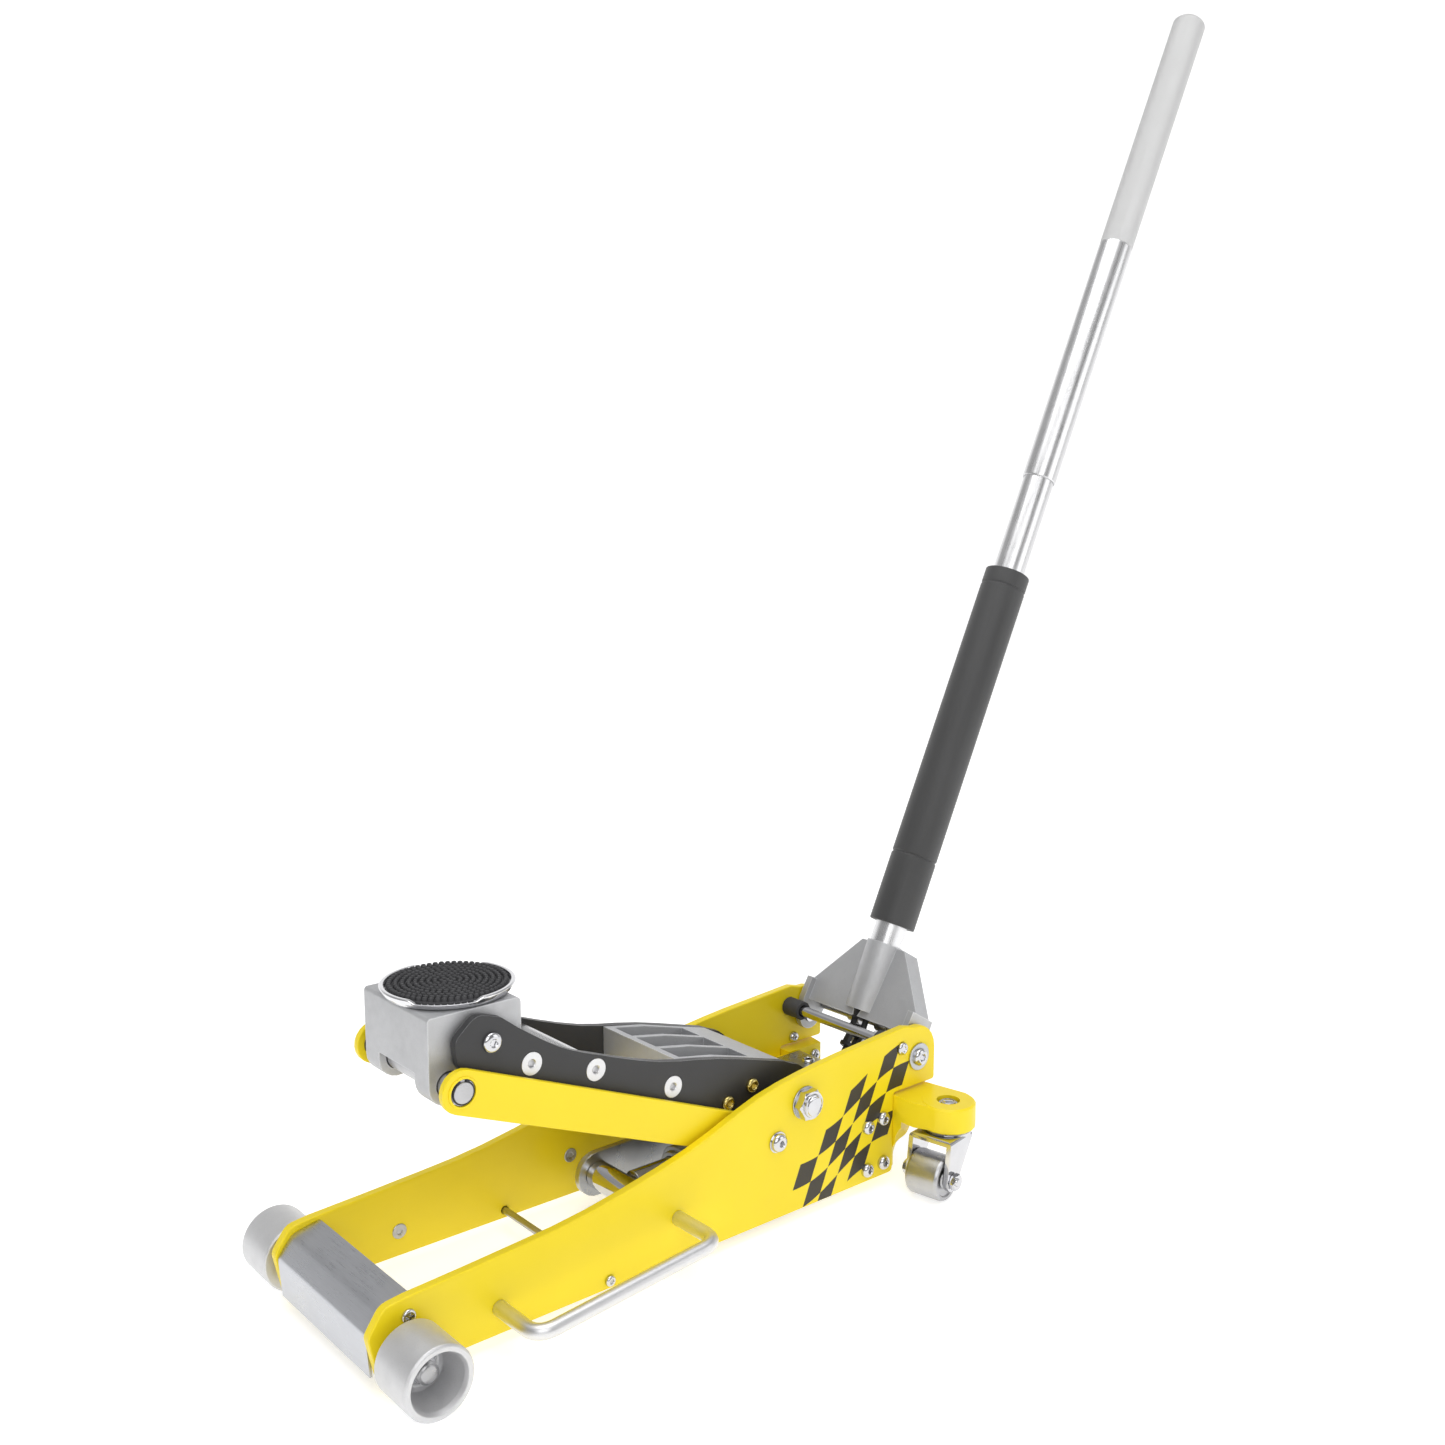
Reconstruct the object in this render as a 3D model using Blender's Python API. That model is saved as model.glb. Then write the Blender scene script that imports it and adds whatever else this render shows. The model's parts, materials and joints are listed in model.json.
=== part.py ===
"""Hydraulic floor jack with a low aluminium frame, a parallelogram lift arm and a two-piece handle.

Metres, +Z up. The saddle is towards -X, the handle towards +X, and the left side is -Y.
Lengths along X below are measured from the front axle, and heights from the floor. The whole
jack hangs from one empty that centres it on its own length.
"""

import math

import bmesh
import bpy
from mathutils import Matrix, Vector

# ---------------------------------------------------------------- driving dimensions
GAP = 0.0003  # space left between pieces that touch
ROUND = 20  # sides of a large round piece
SMALL = 12  # sides of a small round piece
ARC_STEP = math.radians(18)  # turn between two points of a rounded corner

# frame
PLATE_IN, PLATE_OUT = 0.071, 0.079  # faces of a side plate, from the middle plane
FLOOR_GAP = 0.0085  # lower edge of the side plates above the floor
STEP_X, STEP_Z = 0.492, 0.0825  # notch in the rear of a side plate, over the casters
REAR_X = 0.546

# axes across the jack, as (x, z)
FRONT_AXLE = (0.0, 0.027)
LIFT_PIVOT = (0.382, 0.104)
LINK_OFFSET = (-0.0308, -0.0268)  # from an arm pivot to the link pivot beside it
ARM_LENGTH = 0.314
ARM_ANGLE = math.radians(22)  # arm above horizontal as modelled
SOCKET_PIVOT = (0.5235, 0.1094)
STOP_ROD = (0.502, 0.122)
TIE_ROD = (0.1772, 0.0155)
RAM_HEIGHT = 0.040
LEVER_LENGTH = 0.062
LEVER_ANGLE = math.radians(3.5)  # lever ahead of straight down as modelled
CROSSHEAD_X = 0.247

# rod and bolt radii
AXLE_R, LIFT_R, LINK_R, SADDLE_BOLT_R, SADDLE_PIN_R = 0.008, 0.0095, 0.0065, 0.006, 0.0097
SOCKET_BOLT_R, STOP_R, TIE_R, LEVER_PIN_R, CROSSHEAD_PIN_R = 0.006, 0.005, 0.003, 0.006, 0.008

# front wheels
WHEEL_R, WHEEL_IN, WHEEL_OUT = 0.027, 0.0886, 0.132

# lift arm
ARM_IN, ARM_OUT = 0.050, 0.057
ARM_BELOW = 0.024  # lower edge of the arm under the line of its pivots
LINK_IN, LINK_OUT, LINK_END_R = 0.0615, 0.0675, 0.0165

# saddle
SADDLE_X = 0.0885
BRACKET_TOP = 0.247
SADDLE_R, PAD_R = 0.0512, 0.0462
SADDLE_STEM_R = 0.012

# rear casters
CASTER_X, CASTER_Y = 0.521, 0.118
CASTER_TRAIL = 0.025
CASTER_TOE = math.radians(10)  # casters trail forwards, turned out by this
CASTER_R, CASTER_WIDTH = 0.020, 0.032
BOSS_R, BOSS_LOW, BOSS_HIGH = 0.0245, 0.058, 0.081
ARCH_GAP = 0.0024  # room between the swinging caster and the arch in its bracket
ARCH_TURN = math.radians(64)  # of the arch's flat face from square across the jack's length
FORK_SWING = 0.0367  # reach of the fork's upper corners from the swivel axis
SWIVEL_R = 0.006

# carry handles
CARRY_R, CARRY_Y = 0.006, 0.129
CARRY_FRONT, CARRY_REAR = (0.0786, 0.0296), (0.2442, 0.0448)

# hydraulic unit
TUBE_R, RAM_R = 0.0195, 0.011
TUBE_FRONT, BLOCK_FRONT, BLOCK_REAR = 0.300, 0.425, 0.506
PUMP_X, PUMP_Y, PUMP_R = 0.5418, 0.016, 0.0065
PUMP_TOP = 0.1096
VALVE_ANGLE = math.radians(51.4)  # release valve stem above horizontal
VALVE_R = 0.005

# handle
HANDLE_LEAN = math.radians(25.7)  # handle back from upright
WEB_LEAN = math.radians(5.5)  # web of the socket against the handle
SLEEVE_R, TUBE_LOWER_R, TUBE_UPPER_R, FOAM_R = 0.0175, 0.0153, 0.01675, 0.022
HANDLE_TOP = 1.1044
FOAM_START, FOAM_END = 0.1074, 0.4728
UPPER_START = 0.5742
ROLLER = (0.0141, 0.0142)  # pump roller, behind and above the socket pivot

TUBE_EDGE = 0.002  # rounding at the top of the handle
WHEEL_SIDES = 28
SADDLE_SIDES = 32

REAR_END = (
    SOCKET_PIVOT[0]
    + (HANDLE_TOP - TUBE_EDGE) * math.sin(HANDLE_LEAN)
    + TUBE_UPPER_R * math.cos(HANDLE_LEAN)
)
CENTRE_X = (REAR_END - WHEEL_R) / 2

FINISHES = {  # linear colour, roughness, metallic
    "yellow_coat": ((0.91, 0.72, 0.01), 0.35, 0.0),
    "black_coat": ((0.025, 0.025, 0.027), 0.45, 0.0),
    "cast_aluminium": ((0.55, 0.55, 0.57), 0.5, 1.0),
    "bare_aluminium": ((0.75, 0.75, 0.77), 0.35, 1.0),
    "zinc_plate": ((0.42, 0.43, 0.45), 0.3, 1.0),
    "chrome": ((0.72, 0.72, 0.74), 0.12, 1.0),
    "steel": ((0.45, 0.45, 0.46), 0.35, 1.0),
    "black_steel": ((0.03, 0.03, 0.032), 0.4, 0.6),
    "rubber": ((0.02, 0.02, 0.022), 0.8, 0.0),
    "foam": ((0.022, 0.022, 0.025), 0.9, 0.0),
}


def arm_point(along, above=0.0):
    """A point on the lift arm, from the lift pivot along the line of its pivots and above it."""
    c, s = math.cos(ARM_ANGLE), math.sin(ARM_ANGLE)
    return (LIFT_PIVOT[0] - c * along + s * above, LIFT_PIVOT[1] + s * along + c * above)


def offset(point, by):
    return (point[0] + by[0], point[1] + by[1])


SADDLE_PIVOT = arm_point(ARM_LENGTH)
LOWER_PIN = offset(SADDLE_PIVOT, LINK_OFFSET)
LINK_PIVOT = offset(LIFT_PIVOT, LINK_OFFSET)
LEVER_END = offset(
    LIFT_PIVOT, (-LEVER_LENGTH * math.sin(LEVER_ANGLE), -LEVER_LENGTH * math.cos(LEVER_ANGLE))
)


# ---------------------------------------------------------------- outlines
def bore(radius, sides=ROUND, gap=GAP):
    """Radius of a many-sided hole that a round piece turns in."""
    return (radius + gap) / math.cos(math.pi / sides)


def circle(centre, radius, sides=ROUND):
    steps = [2 * math.pi * (i + 0.5) / sides for i in range(sides)]
    return [(centre[0] + radius * math.cos(a), centre[1] + radius * math.sin(a)) for a in steps]


def hexagon(centre, across_flats):
    return circle(centre, across_flats / 2 / math.cos(math.pi / 6), 6)


def arc(centre, radius, start, end, step=ARC_STEP):
    """Points on an arc between two angles in degrees, both ends included."""
    start, end = math.radians(start), math.radians(end)
    count = max(2, math.ceil(abs(end - start) / step))
    angles = [start + (end - start) * i / count for i in range(count + 1)]
    return [(centre[0] + radius * math.cos(a), centre[1] + radius * math.sin(a)) for a in angles]


def rounded(corners):
    """A closed outline from corners given as (x, z) or (x, z, radius)."""
    points = []
    for i, corner in enumerate(corners):
        here = Vector(corner[:2])
        radius = corner[2] if len(corner) > 2 else 0
        if not radius:
            points.append(tuple(here))
            continue
        to_last = (Vector(corners[i - 1][:2]) - here).normalized()
        to_next = (Vector(corners[(i + 1) % len(corners)][:2]) - here).normalized()
        half = to_last.angle(to_next) / 2
        centre = here + (to_last + to_next).normalized() * radius / math.sin(half)
        start = here + to_last * radius / math.tan(half) - centre
        turn = math.pi - 2 * half
        sign = 1 if start.x * to_last.y - start.y * to_last.x < 0 else -1
        count = max(2, math.ceil(turn / ARC_STEP))
        for k in range(count + 1):
            points.append(tuple(centre + Matrix.Rotation(sign * turn * k / count, 2) @ start))
    return points


def smooth(points, parts=3):
    """A curve through points, by Catmull-Rom, with its two end tangents held straight."""
    pts = [Vector(p) for p in points]
    pts = [2 * pts[0] - pts[1], *pts, 2 * pts[-1] - pts[-2]]
    curve = []
    for a, b, c, d in zip(pts, pts[1:], pts[2:], pts[3:]):
        for k in range(parts):
            t = k / parts
            curve.append(
                0.5 * (2 * b + (c - a) * t + (2 * a - 5 * b + 4 * c - d) * t**2)
                + 0.5 * (3 * b - a - 3 * c + d) * t**3
            )
    curve.append(pts[-2])
    return [tuple(p) for p in curve]


def capsule(first, second, first_r, second_r):
    """Outline of a bar with a round end about each of two points."""
    direction = Vector(second) - Vector(first)
    along = math.degrees(math.atan2(direction.y, direction.x))
    lean = math.degrees(math.asin((first_r - second_r) / direction.length))
    far = arc(second, second_r, along - 90 + lean, along + 90 - lean)
    near = arc(first, first_r, along + 90 - lean, along + 270 + lean)
    return far + near


# ---------------------------------------------------------------- solids
PLACE = {  # how a point (a, b) of a section and a distance c across it are laid out
    "X": lambda a, b, c: (c, a, b),
    "Y": lambda a, b, c: (a, c, b),
    "Z": lambda a, b, c: (a, b, c),
}


def finish_mesh(bm):
    bmesh.ops.recalc_face_normals(bm, faces=bm.faces)
    mesh = bpy.data.meshes.new("solid")
    bm.to_mesh(mesh)
    bm.free()
    return mesh


def slab(outline, low, high, holes=(), axis="Y"):
    """A flat piece: an outline with holes, from low to high along an axis."""
    bm = bmesh.new()
    for loop in (outline, *holes):
        verts = [bm.verts.new(PLACE[axis](a, b, low)) for a, b in loop]
        for v, w in zip(verts, verts[1:] + verts[:1]):
            bm.edges.new((v, w))
    bmesh.ops.triangle_fill(bm, use_beauty=True, use_dissolve=False, edges=bm.edges)
    grown = bmesh.ops.extrude_face_region(bm, geom=bm.faces)
    moved = [v for v in grown["geom"] if isinstance(v, bmesh.types.BMVert)]
    bmesh.ops.translate(bm, verts=moved, vec=PLACE[axis](0, 0, high - low))
    return finish_mesh(bm)


def turned(profile, axis="Z", centre=(0, 0), sides=ROUND):
    """A round piece: (radius, height) points turned about an axis. A profile that starts and
    ends on the axis makes a solid piece, and any other profile is closed into a ring."""
    bm = bmesh.new()
    rings = []
    for radius, height in profile:
        points = circle(centre, radius, sides) if radius else [centre]
        rings.append([bm.verts.new(PLACE[axis](a, b, height)) for a, b in points])
    pairs = list(zip(rings, rings[1:]))
    if profile[0][0] or profile[-1][0]:
        pairs.append((rings[-1], rings[0]))
    for one, two in pairs:
        for i in range(sides):
            j = (i + 1) % sides
            corners = [one[i % len(one)], one[j % len(one)], two[j % len(two)], two[i % len(two)]]
            bm.faces.new(list(dict.fromkeys(corners)))
    bmesh.ops.dissolve_limit(bm, angle_limit=math.radians(0.5), verts=bm.verts, edges=bm.edges)
    return finish_mesh(bm)


def rod(radius, low, high, axis="Y", centre=(0, 0), sides=ROUND, bevel=0.0008):
    profile = [(0, low), (radius - bevel, low), (radius, low + bevel)]
    profile += [(radius, high - bevel), (radius - bevel, high), (0, high)]
    return turned(profile, axis, centre, sides)


def swept(points, radius, sides=10):
    """A round bar along a path."""
    points = [Vector(p) for p in points]
    bm = bmesh.new()
    rings = []
    across = None
    for i, point in enumerate(points):
        ahead = (points[min(i + 1, len(points) - 1)] - points[max(i - 1, 0)]).normalized()
        if across is None:
            across = ahead.orthogonal().normalized()
        across = (across - ahead * across.dot(ahead)).normalized()
        other = ahead.cross(across)
        ring = []
        for k in range(sides):
            turn = 2 * math.pi * k / sides
            ring.append(bm.verts.new(point + radius * (across * math.cos(turn) + other * math.sin(turn))))
        rings.append(ring)
    for one, two in zip(rings, rings[1:]):
        for k in range(sides):
            j = (k + 1) % sides
            bm.faces.new((one[k], one[j], two[j], two[k]))
    bm.faces.new(rings[0])
    bm.faces.new(rings[-1])
    return finish_mesh(bm)


def combined(mesh, tool_mesh, operation):
    """The mesh after a Boolean with one tool."""
    pair = []
    for part_mesh in (mesh, tool_mesh):
        pair.append(bpy.data.objects.new("work", part_mesh))
        bpy.context.collection.objects.link(pair[-1])
    modifier = pair[0].modifiers.new("shape", "BOOLEAN")
    modifier.operation = operation
    modifier.solver = "EXACT"
    modifier.object = pair[1]
    bpy.context.view_layer.update()
    graph = bpy.context.evaluated_depsgraph_get()
    result = bpy.data.meshes.new_from_object(pair[0].evaluated_get(graph))
    for item in pair:
        bpy.data.objects.remove(item, do_unlink=True)
    bm = bmesh.new()
    bm.from_mesh(result)
    bmesh.ops.remove_doubles(bm, verts=bm.verts, dist=1e-6)
    bmesh.ops.dissolve_limit(bm, angle_limit=math.radians(0.5), verts=bm.verts, edges=bm.edges)
    return finish_mesh(bm)


def joined(mesh, *others):
    for other in others:
        mesh = combined(mesh, other, "UNION")
    return mesh


def cut(mesh, *others):
    for other in others:
        mesh = combined(mesh, other, "DIFFERENCE")
    return mesh


def common(mesh, other):
    return combined(mesh, other, "INTERSECT")


def moved(mesh, matrix):
    mesh.transform(matrix)
    return mesh


# ---------------------------------------------------------------- scene
FRAMES = {}  # each joint's empty and its matrix in the jack's own coordinates
MATERIALS = {}


def make_materials():
    for name, (colour, roughness, metallic) in FINISHES.items():
        made = bpy.data.materials.new(name)
        made.use_nodes = True
        shader = made.node_tree.nodes["Principled BSDF"]
        shader.inputs["Base Color"].default_value = (*colour, 1)
        shader.inputs["Roughness"].default_value = roughness
        shader.inputs["Metallic"].default_value = metallic
        made.diffuse_color = (*colour, 1)
        MATERIALS[name] = made


def frame(name, at=(0, 0, 0), parent=None, turn=Matrix()):
    """An empty on a joint's axis, given in the jack's own coordinates."""
    empty = bpy.data.objects.new(name, None)
    bpy.context.collection.objects.link(empty)
    empty.empty_display_size = 0.02
    matrix = Matrix.Translation(at) @ turn
    if parent:
        empty.parent = FRAMES[parent][0]
        empty.matrix_local = FRAMES[parent][1].inverted() @ matrix
    FRAMES[name] = (empty, matrix)


def add(name, mesh, finish, on="jack", local=False):
    """Puts a piece on a joint's empty. Its mesh is in the jack's coordinates unless local."""
    empty, matrix = FRAMES[on]
    if not local:
        mesh.transform(matrix.inverted())
    mesh.name = name
    mesh.materials.clear()
    mesh.materials.append(MATERIALS[finish])
    mesh.shade_smooth()
    mesh.set_sharp_from_angle(angle=math.radians(32))
    piece = bpy.data.objects.new(name, mesh)
    bpy.context.collection.objects.link(piece)
    piece.parent = empty


SIDES = {"left": -1, "right": 1}


def between(side, inner, outer):
    """Low and high Y of something that lies between two distances from the middle plane."""
    return sorted((side * inner, side * outer))


# ---------------------------------------------------------------- frame
def side_plate(side):
    top = smooth(
        [(0.0053, 0.0649), (0.0797, 0.0694), (0.1594, 0.0765), (0.2569, 0.0963),
         (0.3314, 0.1212), (0.4, 0.1325), (0.4735, 0.1385), (0.5057, 0.141)]
    )
    rear = rounded([
        (REAR_X, 0.1415, 0.024), (REAR_X, STEP_Z, 0.003), (STEP_X, STEP_Z, 0.003), (STEP_X, FLOOR_GAP, 0.004),
        (-0.0175, FLOOR_GAP, 0.008), (-0.0255, 0.0440, 0.008), (-0.0130, 0.0625, 0.012),
    ])
    holes = [
        circle(FRONT_AXLE, bore(AXLE_R)),
        circle(LIFT_PIVOT, bore(LIFT_R)),
        circle(LINK_PIVOT, bore(LINK_R, SMALL), SMALL),
        circle(SOCKET_PIVOT, bore(SOCKET_BOLT_R, SMALL), SMALL),
        circle(STOP_ROD, bore(STOP_R, SMALL), SMALL),
        circle(TIE_ROD, bore(TIE_R, SMALL), SMALL),
    ]
    return slab(top + rear, *between(side, PLATE_IN, PLATE_OUT), holes)


def front_cross_plate():
    outer = [(-0.0210, 0.0105), (-0.0235, 0.0420), (-0.0115, 0.0575), (0.0118, 0.0622)]
    inner = [(0.0112, 0.0595), (-0.0100, 0.0548), (-0.0208, 0.0412), (-0.0185, 0.0105)]
    bends = [0, 0.006, 0.012, 0, 0, 0.010, 0.004, 0]
    corners = [(*point, bend) for point, bend in zip(outer + inner, bends)]
    width = PLATE_IN - GAP
    return slab(rounded(corners), -width, width)


def front_axle():
    collar = 0.012
    profile = [(0, -0.1180), (AXLE_R, -0.1180), (AXLE_R, GAP - WHEEL_IN), (collar, GAP - WHEEL_IN)]
    profile += [(collar, -PLATE_OUT - GAP), (AXLE_R, -PLATE_OUT - GAP)]
    mirrored = [(radius, -y) for radius, y in reversed(profile)]
    return turned(profile + mirrored, "Y", FRONT_AXLE)


def wheel_arch(side):
    """Room for a caster to swivel all the way round under its bracket: the section that it sweeps,
    drawn out straight, so that the arch has one flat face on the side towards the block."""
    half, far = CASTER_WIDTH / 2, 0.1
    reach = []
    for turn in (0, 30, 50, 65):
        ahead = CASTER_TRAIL + CASTER_R * math.cos(math.radians(turn))
        height = CASTER_R + CASTER_R * math.sin(math.radians(turn))
        reach.append((math.hypot(ahead, half) + ARCH_GAP, height + ARCH_GAP))
    fork = FORK_SWING + ARCH_GAP
    section = [(-far, 0), (reach[0][0], 0), *reach]
    section += [(fork, 2 * CASTER_R + ARCH_GAP), (fork, BOSS_LOW), (-far, BOSS_LOW)]
    facing = Matrix.Rotation(math.pi + side * ARCH_TURN, 4, "Z")
    return moved(slab(section, -far, far), Matrix.Translation((CASTER_X, side * CASTER_Y, 0)) @ facing)


def caster_bracket(side):
    """Bolted inside the side plate, it passes under the plate's rear end and carries the swivel.
    Its wall ends in an arch, seen from the side, and is cut back where the caster swings."""
    wall_low, wall_high = 0.010, 0.0740
    flange_front, flange_in, flange_out = 0.447, 0.0585, PLATE_IN - GAP
    flange = slab(
        rounded([
            (flange_front, wall_low, 0.004), (STEP_X + 0.004, wall_low),
            (STEP_X + 0.004, wall_high), (flange_front, wall_high, 0.006),
        ]),
        *between(side, flange_in, flange_out),
    )
    start, end = STEP_X + GAP, 0.560
    step = 0.0005  # keeps faces that run into each other out of one plane
    leg = [(flange_in + step, wall_low + step), (0.0810, wall_low + step)]
    leg += arc((0.1030, 0.0360), 0.0220, 180, 90)
    leg += [(CASTER_Y, BOSS_LOW + step), (CASTER_Y, BOSS_HIGH - step), (flange_in + step, BOSS_HIGH - step)]
    leg = slab([(side * y, z) for y, z in leg], start, end, axis="X")
    plan = [
        (start, 0.0580), (0.5340, 0.0580), (0.5455, 0.1180), (CASTER_X, 0.1240), (0.4980, 0.1180),
        (start, 0.1030),
    ]
    plan = slab([(x, side * y) for x, y in plan], 0, 0.1, axis="Z")
    profile = [(start - step, 0.0), (0.4990, 0.0)] + arc((0.5240, 0.0200), 0.0250, 180, 90)
    profile += [(end, 0.0450), (end, 0.1), (start - step, 0.1)]
    body = common(common(leg, plan), slab(profile, *between(side, 0.05, 0.13)))
    boss = turned(
        [(0, BOSS_LOW), (BOSS_R - 0.001, BOSS_LOW), (BOSS_R, BOSS_LOW + 0.001), (BOSS_R, BOSS_HIGH - 0.0015),
         (BOSS_R - 0.0015, BOSS_HIGH), (0, BOSS_HIGH)],
        centre=(CASTER_X, side * CASTER_Y),
    )
    body = cut(joined(body, flange), wheel_arch(side))
    body = joined(body, boss)
    centre = (CASTER_X, side * CASTER_Y)
    hole = slab(circle(centre, bore(SWIVEL_R, SMALL), SMALL), 0.05, 0.09, axis="Z")
    recess = slab(circle(centre, 0.0105), 0.0725, 0.09, axis="Z")
    return cut(body, hole, recess)


def carry_handle(side):
    """A bent round bar whose two feet stand on the side plate."""
    bend = 0.016
    (x0, z0), (x1, z1) = CARRY_FRONT, CARRY_REAR
    foot, reach = PLATE_OUT + GAP, CARRY_Y
    length = math.hypot(x1 - x0, z1 - z0)
    plan = rounded([(0, foot), (0, reach, bend), (length, reach, bend), (length, foot)])
    path = []
    for along, y in plan:
        t = along / length
        path.append((x0 + (x1 - x0) * t, side * y, z0 + (z1 - z0) * t))
    return swept(path, CARRY_R, 10)


def add_frame():
    for name, side in SIDES.items():
        add("side_plate_" + name, side_plate(side), "yellow_coat")
        add("caster_bracket_" + name, caster_bracket(side), "yellow_coat")
        add("carry_handle_" + name, carry_handle(side), "bare_aluminium")
        low, high = between(side, 0.050, PLATE_IN - GAP)
        hole = circle(STOP_ROD, bore(STOP_R, SMALL), SMALL)
        bumper = slab(circle(STOP_ROD, 0.009, SMALL), low, high, [hole])
        add("stop_bumper_" + name, bumper, "rubber")
        outer = PLATE_OUT + GAP
        bolt = joined(
            rod(LINK_R, *between(side, 0.0613, outer + 0.002), centre=LINK_PIVOT, sides=SMALL),
            rod(0.0095, *between(side, outer, outer + 0.0045), centre=LINK_PIVOT, sides=SMALL, bevel=0.001),
        )
        add("link_pivot_bolt_" + name, bolt, "chrome")
        bolt = joined(
            rod(SOCKET_BOLT_R, *between(side, 0.0615, outer + 0.002), centre=SOCKET_PIVOT, sides=SMALL),
            rod(0.0125, *between(side, outer, outer + 0.0055), centre=SOCKET_PIVOT, sides=SMALL, bevel=0.001),
        )
        add("socket_pivot_bolt_" + name, bolt, "chrome")
        nut_in = WHEEL_IN + 0.0165
        hole = circle(FRONT_AXLE, bore(AXLE_R))
        nut = slab(hexagon(FRONT_AXLE, 0.017), *between(side, nut_in, nut_in + 0.0075), [hole])
        add("axle_nut_" + name, nut, "chrome")
    add("front_cross_plate", front_cross_plate(), "zinc_plate")
    add("front_axle", front_axle(), "steel")
    add("front_tie_rod", rod(TIE_R, -0.0815, 0.0815, centre=TIE_ROD, sides=SMALL), "steel")
    add("handle_stop_rod", rod(STOP_R, -0.0815, 0.0815, centre=STOP_ROD, sides=SMALL), "chrome")
    head = slab(hexagon(LIFT_PIVOT, 0.024), PLATE_OUT + GAP, PLATE_OUT + 0.0095)
    shaft = joined(rod(LIFT_R, -0.0930, PLATE_OUT + 0.002, centre=LIFT_PIVOT), head)
    add("lift_pivot_shaft", shaft, "steel")
    hole = circle(LIFT_PIVOT, bore(LIFT_R))
    nut = slab(hexagon(LIFT_PIVOT, 0.024), -PLATE_OUT - 0.0095, -PLATE_OUT - GAP, [hole])
    add("lift_pivot_nut", nut, "chrome")


# ---------------------------------------------------------------- wheels
def front_wheel(side):
    """Deeply dished on its outer face, with the hub at the inner end."""
    width = WHEEL_OUT - WHEEL_IN
    hole, edge = bore(AXLE_R, WHEEL_SIDES), 0.0015
    tread = WHEEL_R / math.cos(math.pi / WHEEL_SIDES)  # the flats of the tread touch the floor
    profile = [
        (hole, 0), (tread - edge, 0), (tread, edge), (tread, width - edge), (tread - edge, width),
        (0.0215, width), (0.0203, width - edge), (0.0150, 0.0185), (0.0125, 0.0160), (hole, 0.0160),
    ]
    return turned([(radius, side * (WHEEL_IN + y)) for radius, y in profile], "Y", FRONT_AXLE, WHEEL_SIDES)


def caster_centre(side):
    """Middle of a caster wheel, in plan."""
    x = CASTER_X - CASTER_TRAIL * math.cos(CASTER_TOE)
    return (x, side * (CASTER_Y + CASTER_TRAIL * math.sin(CASTER_TOE)))


LEG_IN, LEG_OUT = CASTER_WIDTH / 2 + 0.001, CASTER_WIDTH / 2 + 0.0055
CASTER_AXLE_R = 0.004
FORK_TOP = BOSS_LOW - 0.0025


def caster_fork():
    """Built with its swivel axis at the origin and its axle towards -X, across Y."""
    trail, low, step = -CASTER_TRAIL, FORK_TOP - 0.0045, 0.0004
    disc = turned(
        [(0, low - step), (0.0215, low - step), (0.0215, FORK_TOP + step), (0.0170, FORK_TOP + step),
         (0.0160, BOSS_LOW - GAP), (0, BOSS_LOW - GAP)]
    )
    channel = [(-LEG_OUT, 0), (-LEG_OUT, FORK_TOP, 0.004), (LEG_OUT, FORK_TOP, 0.004), (LEG_OUT, 0)]
    channel += [(LEG_IN, 0), (LEG_IN, low), (-LEG_IN, low), (-LEG_IN, 0)]
    outline = rounded(
        [(0.0100, FORK_TOP + step, 0.003), (trail - 0.004, FORK_TOP + step, 0.003),
         (trail - 0.0095, CASTER_R - 0.004, 0.006), (trail - 0.004, CASTER_R - 0.0095, 0.005),
         (trail + 0.006, CASTER_R - 0.0095, 0.005), (trail + 0.0105, CASTER_R, 0.006)]
    )
    legs = common(slab(rounded(channel), -0.05, 0.03, axis="X"), slab(outline, -0.04, 0.04))
    hole = slab(circle((0, 0), bore(SWIVEL_R, SMALL), SMALL), 0.03, 0.07, axis="Z")
    axle = slab(circle((trail, CASTER_R), bore(CASTER_AXLE_R, SMALL), SMALL), -0.04, 0.04)
    return cut(joined(legs, disc), hole, axle)


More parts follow.
